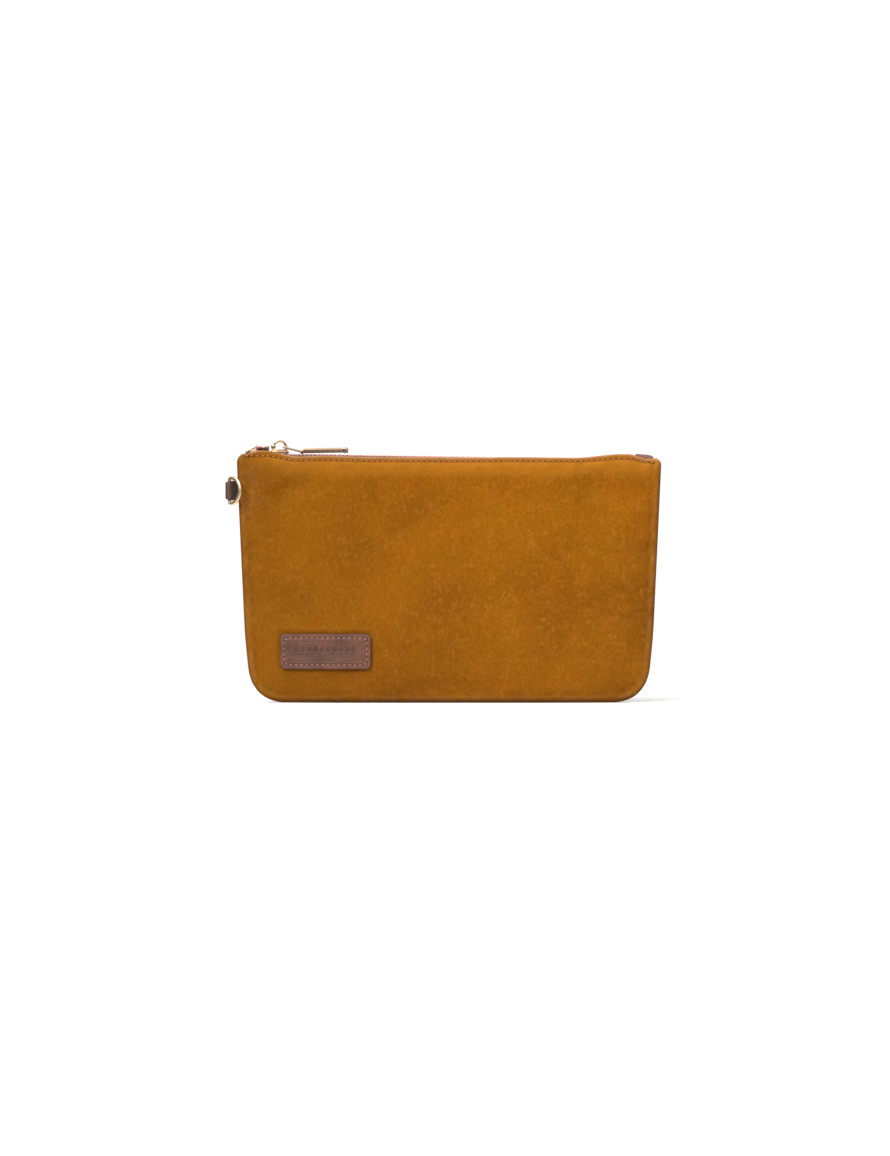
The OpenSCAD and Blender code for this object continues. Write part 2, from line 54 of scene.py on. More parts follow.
def mm(values):
    """A point or vector of the frame, in millimetres."""
    return np.array(values, float) / M


def box_mm(node):
    """Low and high corner of a CAD node, in millimetres."""
    low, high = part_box(node)
    return mm(low), mm(high)


# ------------------------------------------------------------------ the pouch's form, in mm

PATCH_LOW, PATCH_HIGH = box_mm("name_patch")
PATCH_MIDDLE = (PATCH_LOW + PATCH_HIGH)[[0, 2]] / 2
PATCH_HALF = (PATCH_HIGH - PATCH_LOW)[[0, 2]] / 2
HEIGHT = 138.6
TOP_HALF, FOOT_HALF = 120.4, 113.9  # half widths of the straight-sided outline
FOOT_NARROW = 1.3  # how much further the sides come in towards the foot
CORNER_R = 22.5
CORNER_POWER = 2.5  # of the rounded bottom corners; 2 would make them circular
TOP_CORNER_R = 4.5
BELLY, MOUTH, FOOT = 9.0, 6.4, 4.0  # half thicknesses
BELLY_AT = 0.36  # share of the height
FOOT_ROUND = 3.0
RIM = 0.5  # half thickness at the side seams
RISE_FROM = 122.0  # below this height nothing follows the top edge's waves
LEFT_RISE, LEFT_FALL, RIGHT_RISE, RIGHT_DIP = 4.2, 0.45, 2.1, 0.7
# Where the top edge starts and stops to rise, fall or dip, along x
LEFT_RISE_AT, LEFT_FALL_AT = (-84, -104), (-107, -116)
RIGHT_RISE_AT, RIGHT_FALL_AT = (72, 98), (101, 112)
DIP_AT, DIP_END_AT = (102, 112), (114, 119.5)
PULL_HUMP, PULL_HUMP_AT, PULL_HUMP_W = 0.95, -70, 30
EDGE_WAVE, EDGE_WAVE_END = 0.2, (118, 104)
SUEDE_T, INTERLINING_T, LINING_T = 1.2, 0.5, 0.4
STITCH_DROP = 2.3
# Height, wavelength and seed of each layer of the suede's undulation
UNDULATION = ((0.22, 74, 0), (0.10, 27, 1), (0.05, 9, 4))


def ramp(a, b, v):
    """Smooth step from 0 at a to 1 at b, which may lie below a."""
    t = np.clip((v - a) / (b - a), 0, 1)
    return t * t * (3 - 2 * t)


def unit(vectors):
    """Vectors along the last axis, scaled to length 1."""
    length = np.linalg.norm(vectors, axis=-1, keepdims=True)
    return vectors / np.maximum(length, 1e-9)


def fallen(points, angle):
    """Points turned about the y axis, so that +x goes down by angle."""
    p = np.asarray(points, float)
    c, s = math.cos(angle), math.sin(angle)
    return np.stack([p[..., 0] * c + p[..., 2] * s, p[..., 1], p[..., 2] * c - p[..., 0] * s], -1)


def bump(centre, width, v):
    """A smooth hump of height 1 at centre, gone at centre +- width."""
    return 1 - ramp(0, width, np.abs(v - centre))


def straight_w(z):
    """Half width of the outline at height z, before its corners are rounded."""
    taper = FOOT_HALF + (TOP_HALF - FOOT_HALF) * z / HEIGHT
    return taper - FOOT_NARROW * ramp(2 * CORNER_R, CORNER_R / 3, z)


def half_w(z):
    """Half width of the outline at height z."""
    z = np.asarray(z, float)
    low = np.clip(1 - z / CORNER_R, 0, 1)
    cut = CORNER_R * (1 - (1 - low ** CORNER_POWER) ** (1 / CORNER_POWER))
    high = np.clip(z - HEIGHT + TOP_CORNER_R, 0, TOP_CORNER_R)
    top_cut = TOP_CORNER_R - np.sqrt(TOP_CORNER_R ** 2 - high ** 2)
    return straight_w(z) - cut - top_cut


def depth(z):
    """Half thickness at the middle of the width."""
    s = np.asarray(z, float) / HEIGHT
    lower = BELLY - (BELLY - FOOT - FOOT_ROUND) * ((BELLY_AT - s) / BELLY_AT) ** 2
    upper = MOUTH + (BELLY - MOUTH) * (1 + np.cos(np.pi * (s - BELLY_AT) / (1 - BELLY_AT))) / 2
    low = np.clip(1 - np.asarray(z, float) / FOOT_ROUND, 0, 1)
    return np.where(s < BELLY_AT, lower, upper) - FOOT_ROUND * (1 - np.sqrt(1 - low ** 2))


def swell(u, z):
    """Share of that depth left at u, from 0 in the middle to 1 on the side seam."""
    power = 3 + 6 * (np.asarray(z, float) / HEIGHT) ** 3
    return np.sqrt(np.clip(1 - np.abs(u) ** power, 0, 1))


def edge_rise(x):
    """Wave of the top edge."""
    x = np.asarray(x, float)
    right = RIGHT_RISE * ramp(*RIGHT_RISE_AT, x) * (1 - ramp(*RIGHT_FALL_AT, x))
    dip = RIGHT_DIP * ramp(*DIP_AT, x) * (1 - ramp(*DIP_END_AT, x))
    wobble = EDGE_WAVE * waves(x, np.zeros_like(x), 52, 17) * ramp(*EDGE_WAVE_END, np.abs(x))
    left = LEFT_RISE * ramp(*LEFT_RISE_AT, x) * (1 - LEFT_FALL * ramp(*LEFT_FALL_AT, x))
    return left + right - dip + wobble + PULL_HUMP * bump(PULL_HUMP_AT, PULL_HUMP_W, x)


def rise_share(z):
    """Share of the edge's rise that a height follows."""
    return np.clip((np.asarray(z, float) - RISE_FROM) / (HEIGHT - RISE_FROM), 0, 1) ** 2


def seam_distance(x, z):
    """Distance from the side and bottom seams, measured in the front view."""
    a = straight_w(z) - np.abs(x)
    round_a = np.clip(CORNER_R - a, 0, None)
    round_b = np.clip(CORNER_R - z, 0, None)
    near = (round_a ** CORNER_POWER + round_b ** CORNER_POWER) ** (1 / CORNER_POWER)
    return np.where((round_a > 0) | (round_b > 0), CORNER_R - near, np.minimum(a, z))


def waves(x, z, wavelength, seed, count=7):
    """Smooth random relief between about -1 and 1, made of plane waves."""
    rng = np.random.default_rng(seed)
    total = 0
    for _ in range(count):
        turn = rng.uniform(0, 2 * np.pi)
        length = wavelength * rng.uniform(0.7, 1.5)
        phase = rng.uniform(0, 2 * np.pi)
        total = total + np.sin(2 * np.pi * (x * np.cos(turn) + z * np.sin(turn)) / length + phase)
    return total / math.sqrt(count * 1.5)


def mottle(x, z, wavelength, seed):
    """The same relief, from 0 to 1."""
    return 0.5 + 0.5 * np.clip(waves(x, z, wavelength, seed), -1, 1)


PUFF = {}  # the cloth simulation's relief for each side, filled in by puff_up()
PUFF_COLS, PUFF_ROWS = 65, 41
PUFF_CAP = 1.3


def puff_at(u, z, side):
    """The simulated relief at u across the width and height z."""
    if side not in PUFF:
        return 0.0
    grid = PUFF[side]
    rows, cols = grid.shape
    i = np.clip((np.asarray(u) + 1) / 2 * (cols - 1), 0, cols - 1.001)
    j = np.clip(np.asarray(z) / HEIGHT * (rows - 1), 0, rows - 1.001)
    i0, j0 = i.astype(int), j.astype(int)
    fi, fj = i - i0, j - j0
    low = grid[j0, i0] * (1 - fi) + grid[j0, i0 + 1] * fi
    high = grid[j0 + 1, i0] * (1 - fi) + grid[j0 + 1, i0 + 1] * fi
    return low * (1 - fj) + high * fj


def puff_up():
    """Let both halves settle as one closed bag of slightly slack cloth under light pressure, held
    at its seams and mouth, and keep how far each place moved out or in."""
    us = np.linspace(-1, 1, PUFF_COLS)
    zs = np.linspace(0, HEIGHT, PUFF_ROWS)
    u, z = np.meshgrid(us, zs)
    grids = [np.stack([half_w(z) * u, side * plain_thickness(u, z), z], -1)
             for side in (-1, 1)]
    n = PUFF_COLS * PUFF_ROWS
    faces = grid_faces(PUFF_ROWS, PUFF_COLS) + grid_faces(PUFF_ROWS, PUFF_COLS, n, True)
    border = ([(0, i) for i in range(PUFF_COLS)] + [(j, PUFF_COLS - 1) for j in range(1, PUFF_ROWS)]
              + [(PUFF_ROWS - 1, i) for i in range(PUFF_COLS - 2, -1, -1)]
              + [(j, 0) for j in range(PUFF_ROWS - 2, 0, -1)])
    ids = [j * PUFF_COLS + i for j, i in border]
    faces += [[a, n + a, n + b, b] for a, b in zip(ids, ids[1:] + ids[:1])]
    mesh = bpy.data.meshes.new("bag")
    mesh.from_pydata((np.concatenate([g.reshape(-1, 3) for g in grids]) * M).tolist(), [], faces)
    bag = bpy.data.objects.new("bag", mesh)
    scene = bpy.context.scene
    scene.collection.objects.link(bag)
    held = bag.vertex_groups.new(name="held")
    firm = (np.abs(u) > 0.985) | (z < 2) | (z > HEIGHT - 8)
    held.add([k for k in range(2 * n) if firm.reshape(-1)[k % n]], 1.0, "REPLACE")
    cloth = bag.modifiers.new("cloth", "CLOTH")
    settings = cloth.settings
    settings.quality = 5
    settings.mass = 0.1
    settings.tension_stiffness = settings.compression_stiffness = 12
    settings.shear_stiffness = 6
    settings.bending_stiffness = 0.6
    settings.shrink_min = -0.008
    settings.use_pressure = True
    settings.uniform_pressure_force = 0.12
    settings.vertex_group_mass = "held"
    settings.effector_weights.gravity = 0
    for frame_number in range(1, 21):
        scene.frame_set(frame_number)
    shape = bag.evaluated_get(bpy.context.evaluated_depsgraph_get()).to_mesh()
    settled = np.empty(2 * n * 3, np.float32)
    shape.vertices.foreach_get("co", settled)
    settled = settled.reshape(2, PUFF_ROWS, PUFF_COLS, 3) / M
    bpy.data.objects.remove(bag)
    bpy.data.meshes.remove(mesh)
    scene.frame_set(1)
    for side, after, before in zip((-1, 1), settled, grids):
        moved = side * (after[..., 1] - before[..., 1])
        for axis in (0, 1):
            moved = (np.roll(moved, 1, axis) + 2 * moved + np.roll(moved, -1, axis)) / 4
        moved[firm] = 0
        PUFF[side] = PUFF_CAP * np.tanh(moved / PUFF_CAP)


def relief(x, z, side):
    """How far the suede stands out of the plain form: undulation, seam ridges and stitch valley."""
    seed = 10 if side < 0 else 60
    e = seam_distance(x, z)
    inside = ramp(1.0, 16.0, e) * ramp(1.0, 14.0, HEIGHT - z)
    soft = sum(high * waves(x, z, length, seed + k) for high, length, k in UNDULATION)
    ridge = 0.22 * bump(2.4, 2.2, e) - 0.18 * bump(5.4, 2.8, e)
    pucker = 0.13 * waves(x, z, 5.2, seed + 2) * bump(3.6, 3.4, e)
    top = HEIGHT - z
    valley = -0.30 * bump(STITCH_DROP, 1.5, top) + 0.16 * bump(STITCH_DROP - 1.7, 1.2, top)
    valley = valley + 0.10 * bump(STITCH_DROP + 2.6, 2.4, top)
    gather = 0.06 * waves(x, z * 0.25, 6.4, seed + 3) * bump(STITCH_DROP + 1, 5, top)
    patch = 0
    if side < 0:
        dx = np.abs(x - PATCH_MIDDLE[0]) - PATCH_HALF[0]
        dz = np.abs(z - PATCH_MIDDLE[1]) - PATCH_HALF[1]
        away = np.sqrt(np.clip(dx, 0, None) ** 2 + np.clip(dz, 0, None) ** 2)
        patch = -0.35 * (1 - ramp(0.0, 1.6, away)) + 0.22 * bump(2.6, 2.0, away)
    plain = soft * inside + ridge + pucker + (valley + gather) * ramp(2, 9, e) + patch
    return plain * ramp(0.0, 1.6, e)


def plain_thickness(u, z, inset=0.0):
    """Distance of a layer's smooth form from the middle plane."""
    return RIM + (depth(z) - inset - RIM) * swell(u, z)


def thickness(u, z, inset, side):
    """Distance of a layer's surface from the middle plane, with the suede's relief."""
    return plain_thickness(u, z, inset) + relief(half_w(z) * u, z, side) + puff_at(u, z, side)


def surface(x, z, side=-1):
    """Points of the suede at front-view places x, z, where z counts before the edge's rise."""
    x, z = np.asarray(x, float), np.asarray(z, float)
    y = side * thickness(x / half_w(z), z, 0.0, side)
    return np.stack([x, y, z + edge_rise(x) * rise_share(z)], -1)


# ------------------------------------------------------------------ meshes

def piece(name, points, faces, material, body, replaced=(), values=None):
    """A closed mesh piece from points in millimetres. values holds named numbers for each point."""
    mesh = bpy.data.meshes.new(name)
    mesh.from_pydata((np.asarray(points, float) * M).tolist(), [], [list(f) for f in faces])
    bm = bmesh.new()
    bm.from_mesh(mesh)
    bmesh.ops.recalc_face_normals(bm, faces=bm.faces)
    bm.to_mesh(mesh)
    bm.free()
    mesh.polygons.foreach_set("use_smooth", [True] * len(mesh.polygons))
    for key, numbers in (values or {}).items():
        layer = mesh.attributes.new(key, "FLOAT", "POINT")
        layer.data.foreach_set("value", np.asarray(numbers, np.float32))
    mesh.materials.append(material)
    obj = bpy.data.objects.new(name, mesh)
    bpy.context.scene.collection.objects.link(obj)
    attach(obj, body)
    if replaced:
        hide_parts(*replaced)
    return obj


class Build:
    """Points and faces of one piece, gathered from several closed shapes."""

    def __init__(self):
        self.points, self.faces = [], []

    def add(self, points, faces):
        start = sum(len(p) for p in self.points)
        self.points.append(np.asarray(points, float).reshape(-1, 3))
        self.faces += [[start + k for k in f] for f in faces]

    def made(self, name, material, body, slot, replaced=(), values=None):
        """The piece; values holds named numbers, or is a function of the points that gives them."""
        points = np.concatenate(self.points)
        if callable(values):
            values = values(points)
        return piece(name, points, self.faces, material, body, replaced, values)


def tube_faces(rings, sides, closed=False):
    """Faces of a tube of rings, capped unless it is closed on itself."""
    faces = []
    for r in range(rings if closed else rings - 1):
        for s in range(sides):
            a, b = r * sides + s, r * sides + (s + 1) % sides
            c = (r + 1) % rings * sides
            faces.append([a, b, c + (s + 1) % sides, c + s])
    if not closed:
        faces.append(list(range(sides))[::-1])
        faces.append([(rings - 1) * sides + s for s in range(sides)])
    return faces


def frames_along(path, up, closed=False):
    """Unit side and up vectors along a path of points."""
    path = np.asarray(path, float)
    if closed:
        tangent = np.roll(path, -1, 0) - np.roll(path, 1, 0)
    else:
        tangent = np.gradient(path, axis=0)
    tangent = unit(tangent)
    side = unit(np.cross(tangent, np.asarray(up, float)))
    return side, np.cross(side, tangent)


def sweep(build, path, section, up, closed=False, scale=None):
    """A section of (side, up) points carried along a path."""
    path = np.asarray(path, float)
    section = np.asarray(section, float)
    side, over = frames_along(path, up, closed)
    share = np.ones((len(path), 2)) if scale is None else np.asarray(scale, float)
    points = (path[:, None]
              + side[:, None] * (section[None, :, 0, None] * share[:, None, None, 0])
              + over[:, None] * (section[None, :, 1, None] * share[:, None, None, 1]))
    build.add(points, tube_faces(len(path), len(section), closed))


def ring_section(r, sides):
    """Round section."""
    a = np.arange(sides) * 2 * np.pi / sides
    return np.stack([np.cos(a), np.sin(a)], 1) * r


def rounded_section(half_a, half_b, r, per_corner=4):
    """Rounded rectangle, counter-clockwise."""
    points = []
    for k, (sa, sb) in enumerate([(1, 1), (-1, 1), (-1, -1), (1, -1)]):
        for step in range(per_corner + 1):
            a = (k + step / per_corner) * np.pi / 2
            points.append([sa * (half_a - r) + r * np.cos(a), sb * (half_b - r) + r * np.sin(a)])
    return np.array(points)


def smooth_loop(points, rounds=3):
    """Chaikin's corner cutting on a closed outline."""
    points = np.asarray(points, float)
    for _ in range(rounds):
        after = np.roll(points, -1, 0)
        points = np.stack([0.75 * points + 0.25 * after, 0.25 * points + 0.75 * after], 1)
        points = points.reshape(-1, 2)
    return points


def inset_loop(points, amount):
    """Outline moved inwards by amount; the outline runs counter-clockwise."""
    tangent = unit(np.roll(points, -1, 0) - np.roll(points, 1, 0))
    return points + np.stack([-tangent[:, 1], tangent[:, 0]], 1) * amount


def mirrored(levels):
    """A (height, inset) list for both halves of a plate, from the one above its middle."""
    return [(-z, inset) for z, inset in levels[::-1]] + levels


def pillow(build, outline, levels, place):
    """A plate with a rounded edge: the outline at each (height, inset), capped at both ends."""
    rings = [np.c_[inset_loop(outline, inset), np.full(len(outline), z)] for z, inset in levels]
    build.add(place(np.concatenate(rings)), tube_faces(len(rings), len(outline)))


# ------------------------------------------------------------------ materials

class Nodes:
    """A node tree: nodes are added by kind, and their sockets are named, or numbered as i0, i1."""

    def __init__(self, tree):
        self.tree = tree

    def plug(self, socket, value):
        if hasattr(value, "is_output"):
            self.tree.links.new(value, socket)
        else:
            socket.default_value = value

    def node(self, kind, out=0, **inputs):
        made = self.tree.nodes.new("ShaderNode" + kind)
        for key, value in inputs.items():
            if key.startswith("set_"):
                setattr(made, key[4:], value)
            elif key[0] == "i" and key[1:].isdigit():
                self.plug(made.inputs[int(key[1:])], value)
            else:
                self.plug(made.inputs[key.replace("_", " ")], value)
        return made.outputs[out] if made.outputs else None


class Shader(Nodes):
    """A procedural material on one Principled surface."""

    def __init__(self, name, **fixed):
        self.material = bpy.data.materials.new(name)
        self.material.use_nodes = True
        super().__init__(self.material.node_tree)
        self.surface = self.tree.nodes["Principled BSDF"]
        for key, value in fixed.items():
            self.surface.inputs[key.replace("_", " ")].default_value = value

    def feed(self, name, value):
        self.tree.links.new(value, self.surface.inputs[name])

    def place(self):
        return self.node("TexCoord", out=3)

    def noise(self, scale, detail=4, rough=0.6, where=None, distortion=0.0):
        return self.node("TexNoise", Vector=where or self.place(), Scale=scale, Detail=detail,
                         Roughness=rough, Distortion=distortion)

    def stretch(self, scale):
        return self.node("Mapping", Vector=self.place(), Scale=scale)

    def times(self, a, b):
        return self.node("Math", set_operation="MULTIPLY", i0=a, i1=b)

    def fit(self, value, low, high, to_low=0.0, to_high=1.0):
        return self.node("MapRange", Value=value, From_Min=low, From_Max=high, To_Min=to_low,
                         To_Max=to_high)

    def mix(self, share, a, b):
        return self.node("Mix", 2, set_data_type="RGBA", i0=share, i6=a, i7=b)

    def attribute(self, name):
        return self.node("Attribute", out=2, set_attribute_name=name)

    def bump(self, height, distance, strength=1.0, under=None):
        lower = {"Normal": under} if under else {}
        return self.node("Bump", Height=height, Distance=distance, Strength=strength, **lower)


def srgb(r, g, b):
    """Linear colour of an 8-bit sRGB one."""
    line = [c / 255 for c in (r, g, b)]
    return tuple(c / 12.92 if c <= 0.04045 else ((c + 0.055) / 1.055) ** 2.4 for c in line) + (1.0,)


def suede_material():
    """Napped suede: cloudy dye, clusters of short fibres lying over, and fine dark pits, with painted
    light, painted highlight and painted shade laid over them.
    """
    s = Shader("suede", Roughness=0.9, Sheen_Weight=0.1, Sheen_Roughness=0.5,
               Specular_IOR_Level=0.06)
    s.surface.inputs["Sheen Tint"].default_value = srgb(255, 190, 130)
    deep, mid, warm = srgb(125, 72, 2), srgb(141, 85, 3), srgb(144, 79, 3)
    cloud = s.noise(24, 3, 0.5)
    stain = s.noise(48, 3, 0.55, distortion=0.8)
    cluster = s.noise(150, 3, 0.6, distortion=0.4)
    nap = s.noise(620, 4, 0.72, where=s.stretch((1.0, 1.0, 0.7)))
    fibre = s.noise(1500, 3, 0.75, where=s.stretch((0.6, 1.0, 1.0)))
    tone = s.mix(s.fit(cloud, 0.36, 0.64), deep, mid)
    tone = s.mix(s.fit(stain, 0.52, 0.66, 0.0, 0.6), tone, warm)
    light = s.times(s.fit(nap, 0.47, 0.66), s.fit(cluster, 0.4, 0.62, 0.25, 1.0))
    tone = s.mix(s.times(light, 0.62), tone, srgb(166, 108, 36))
    dark = s.times(s.fit(nap, 0.46, 0.3), s.fit(cluster, 0.62, 0.4, 0.35, 1.0))
    tone = s.mix(s.times(dark, 0.5), tone, srgb(94, 52, 1))
    tone = s.mix(s.fit(fibre, 0.3, 0.62, 0.3, 0.0), tone, srgb(100, 56, 2))
    # Painted light: the suede is lightened in a band along its top.
    tone = s.mix(s.attribute("light"), tone, srgb(170, 106, 26))
    # Lighter pinkish places: painted highlight along the top rim, and lighter patches on the seam ridges
    # and at the upper left.
    tone = s.mix(s.fit(s.attribute("worn"), 0.0, 1.0, 0.0, 0.85), tone, srgb(172, 130, 98))
    # Painted shade: darker in the side and bottom seams, in the valley beside them, and along the foot.
    tone = s.mix(s.fit(s.attribute("shade"), 0.0, 1.0, 0.0, 0.7), tone, srgb(66, 36, 8))
    # Painted shade: the suede darkens towards its left side and towards its foot.
    across, up = (s.node("SeparateXYZ", axis, Vector=s.place()) for axis in (0, 2))
    tone = s.mix(s.fit(across, 0.02, -0.11, 0.0, 0.24), tone, srgb(84, 50, 4))
    tone = s.mix(s.fit(up, 0.11, 0.01, 0.0, 0.26), tone, srgb(84, 50, 8))
    s.feed("Base Color", tone)
    pile = s.bump(fibre, 0.00018, 0.5)
    pile = s.bump(nap, 0.0004, 0.55, under=pile)
    s.feed("Normal", s.bump(cluster, 0.0006, 0.25, under=pile))
    s.feed("Roughness", s.fit(nap, 0.3, 0.7, 0.82, 0.98))
    return s.material


def leather_material(name, base, dark, light, grain=900.0):
    """Smooth vegetable-tanned leather: fine pebble grain, pull-up tone, painted shade, and lighter
    places that are partly wear and partly painted highlight.
    """
    s = Shader(name, Roughness=0.5, Specular_IOR_Level=0.42, Coat_Weight=0.08, Coat_Roughness=0.35)
    cloud = s.noise(90, 4, 0.55)
    pebble = s.node("TexVoronoi", set_feature="DISTANCE_TO_EDGE", Vector=s.place(), Scale=grain)
    pore = s.noise(grain * 2.2, 2, 0.6)
    scuff = s.noise(420, 4, 0.7, where=s.stretch((0.35, 1.0, 1.0)))
    tone = s.mix(s.fit(cloud, 0.35, 0.68), dark, base)
    tone = s.mix(s.fit(scuff, 0.52, 0.78, 0.0, 0.5), tone, light)
    tone = s.mix(s.fit(pebble, 0.0, 0.16, 0.4, 0.0), tone, dark)
    # Painted shade from the shade attribute.
    tone = s.mix(s.fit(s.attribute("shade"), 0.0, 1.0, 0.0, 0.9), tone, srgb(30, 19, 12))
    # Lighter places: partly wear, partly painted highlight.
    tone = s.mix(s.fit(s.attribute("worn"), 0.0, 1.0, 0.0, 0.6), tone, light)
    s.feed("Base Color", tone)
    skin = s.bump(s.fit(pebble, 0.0, 0.22), 0.00012, 0.6)
    skin = s.bump(pore, 0.00005, 0.35, under=skin)
    s.feed("Normal", s.bump(cloud, 0.0006, 0.25, under=skin))
    s.feed("Roughness", s.fit(scuff, 0.3, 0.75, 0.42, 0.62))
    return s.material


def gold_material(name, colour, rough=0.2):
    """Light gold plating: soft polish with hairline scratches and faint tarnish in places."""
    s = Shader(name, Metallic=1.0, Roughness=rough)
    scratch = s.noise(900, 5, 0.75, where=s.stretch((0.25, 1.0, 2.6)))
    haze = s.noise(230, 3, 0.5)
    tone = s.mix(s.fit(haze, 0.4, 0.75, 0.0, 0.35), colour, srgb(170, 142, 100))
    s.feed("Base Color", tone)
    s.feed("Roughness", s.fit(scratch, 0.35, 0.75, rough - 0.05, rough + 0.14))
    s.feed("Normal", s.bump(scratch, 0.00003, 0.35))
    return s.material


def thread_material(name, base, dark):
    """Waxed sewing thread: twisted filaments, with painted shade where it dips into its holes."""
    s = Shader(name, Roughness=0.62, Sheen_Weight=0.2, Specular_IOR_Level=0.35)
    strand = s.noise(2600, 3, 0.7)
    tone = s.mix(s.fit(strand, 0.3, 0.7), dark, base)
    # Painted shade where the thread dips into its holes.
    tone = s.mix(s.fit(s.attribute("shade"), 0.0, 1.0, 0.0, 0.85), tone, dark)
    s.feed("Base Color", tone)
    s.feed("Normal", s.bump(strand, 0.00006, 0.6))
    return s.material


def hole_material():
    """The shadowed mouth of a needle hole."""
    s = Shader("needle_hole", Roughness=0.95, Specular_IOR_Level=0.05)
    s.feed("Base Color", s.mix(s.fit(s.noise(1500), 0.3, 0.7), srgb(52, 26, 6), srgb(74, 38, 10)))
    return s.material


def cloth_material(name, base, dark, threads):
    """Plain weave, with warp and weft standing over each other in turn."""
    s = Shader(name, Roughness=0.85, Sheen_Weight=0.15, Specular_IOR_Level=0.2)
    warp, weft = (s.node("TexWave", set_wave_type="BANDS", set_bands_direction=way,
                         Vector=s.place(), Scale=threads / 6, Distortion=0.4, Detail=1.0)
                  for way in ("X", "Z"))
    weave = s.times(warp, weft)
    slub = s.noise(700, 3, 0.6, where=s.stretch((1.0, 1.0, 0.15)))
    tone = s.mix(s.fit(weave, 0.0, 0.7), dark, base)
    tone = s.mix(s.fit(slub, 0.5, 0.8, 0.0, 0.4), tone, dark)
    s.feed("Base Color", tone)
    s.feed("Normal", s.bump(weave, 0.00012, 0.7))
    return s.material


def felt_material():
    """Pressed felt stiffener."""
    s = Shader("felt", Roughness=0.95, Sheen_Weight=0.2, Specular_IOR_Level=0.1)
    fluff = s.noise(900, 5, 0.8, distortion=1.5)
    s.feed("Base Color", s.mix(s.fit(fluff, 0.3, 0.7), srgb(186, 178, 162), srgb(222, 215, 200)))
    s.feed("Normal", s.bump(fluff, 0.0003, 0.7))
    return s.material


SUEDE = suede_material()
BROWN = leather_material("brown_leather", srgb(99, 56, 35), srgb(74, 40, 24), srgb(130, 82, 57))
TAB_BROWN = leather_material("tab_leather", srgb(150, 100, 86), srgb(112, 72, 60),
                             srgb(184, 136, 118))
LOOP_BROWN = leather_material("loop_leather", srgb(92, 58, 44), srgb(62, 40, 30),
                              srgb(128, 88, 66), 700.0)
GOLD = gold_material("light_gold", srgb(200, 168, 144), 0.17)
# A lighter, rougher copy of the gold for the D-ring: its lighter colour is painted light.
RING_GOLD_PAINTED_LIGHT = gold_material("ring_gold", srgb(236, 202, 166), 0.38)
TOOTH_GOLD = gold_material("tooth_gold", srgb(204, 148, 138), 0.26)
SUEDE_THREAD = thread_material("suede_thread", srgb(192, 122, 50), srgb(112, 62, 14))
PATCH_THREAD = thread_material("patch_thread", srgb(176, 122, 106), srgb(78, 46, 32))
HOLE = hole_material()
TAPE = cloth_material("zip_tape", srgb(104, 80, 46), srgb(62, 46, 24), 2600.0)
LINING = cloth_material("lining_cloth", srgb(112, 84, 60), srgb(74, 52, 36), 1700.0)
FELT = felt_material()

# ------------------------------------------------------------------ sewn layers

SIDES = ((-1, "front"), (1, "back"))
STIFFENER_DROP, LINING_DROP = 13.2, 7.2  # how far each ends below the edge
FOOT_STEPS = 5


def spaced(count, power=1.0):
    """Numbers from -1 to 1 that crowd towards both ends."""
    a = np.linspace(-1, 1, count)
    return (1 - power) * a + power * np.sin(a * np.pi / 2)


def rows_up(count, top):
    """Heights that crowd towards the foot and towards the top."""
    s = np.linspace(0, 1, count)
    return top * ((s ** 1.9) * (1 - s) + (1 - (1 - s) ** 1.6) * s)


def layer_grid(inset, us, zs, side):
    """Grid of points of one layer, with its first rows running out under the foot."""
    rows = []
    for k in range(FOOT_STEPS):
        share = k / FOOT_STEPS
        w = half_w(0) - inset - 0.3 * (1 - share)
        t = RIM + (plain_thickness(us, np.zeros_like(us), inset) - RIM) * share
        lift = inset + 0.15 * (1 - share)
        rows.append(np.stack([w * us, side * t, np.full_like(us, lift)], -1))
    for z in zs:
        zz = np.full_like(us, z)
        x = (half_w(z) - inset) * us
        t = thickness(us, zz, inset, side)
        rise = inset * (1 - z / HEIGHT) + edge_rise(x) * rise_share(z)
        rows.append(np.stack([x, side * t, z + rise], -1))
    return np.array(rows)


def grid_faces(rows, cols, start=0, flip=False):
    """Quads of a grid of points whose first point has number start."""
    faces = []
    for j in range(rows - 1):
        for i in range(cols - 1):
            a = start + j * cols + i
            quad = [a, a + 1, a + cols + 1, a + cols]
            faces.append(quad[::-1] if flip else quad)
    return faces


def close_slab(outer, inner, side_loops=(), top_loops=()):
    """Points and faces between two grids, through loops round the seam and over the top edge.
    Each loop is a function of the outer and inner border points."""
    rows, cols = outer.shape[:2]
    n = rows * cols
    points = [outer.reshape(-1, 3), inner.reshape(-1, 3)]
    faces = grid_faces(rows, cols) + grid_faces(rows, cols, n, True)
    u_chain = ([(j, 0) for j in range(rows - 1, -1, -1)]
               + [(0, i) for i in range(1, cols)]
               + [(j, cols - 1) for j in range(1, rows)])
    top_chain = [(rows - 1, i) for i in range(cols - 1, -1, -1)]
    total, ends = 2 * n, []
    for chain, loops in ((u_chain, side_loops), (top_chain, top_loops)):
        ids = np.array([j * cols + i for j, i in chain])
        o = np.array([outer[j, i] for j, i in chain])
        q = np.array([inner[j, i] for j, i in chain])
        lines = [ids]
        for loop in loops:
            made = loop(o, q)
            points.append(made)
            lines.append(np.arange(total, total + len(made)))
            total += len(made)
        lines.append(n + ids)
        for a, b in zip(lines, lines[1:]):
            faces += [[a[k + 1], a[k], b[k], b[k + 1]] for k in range(len(a) - 1)]
        ends.append(([line[0] for line in lines], [line[-1] for line in lines]))
    (left, right), (top_right, top_left) = ends
    for one, other in ((left, top_left), (right, top_right)):
        ring = one + other[1:-1][::-1]
        if len(ring) > 2:
            faces.append(ring)
    return np.concatenate(points), faces


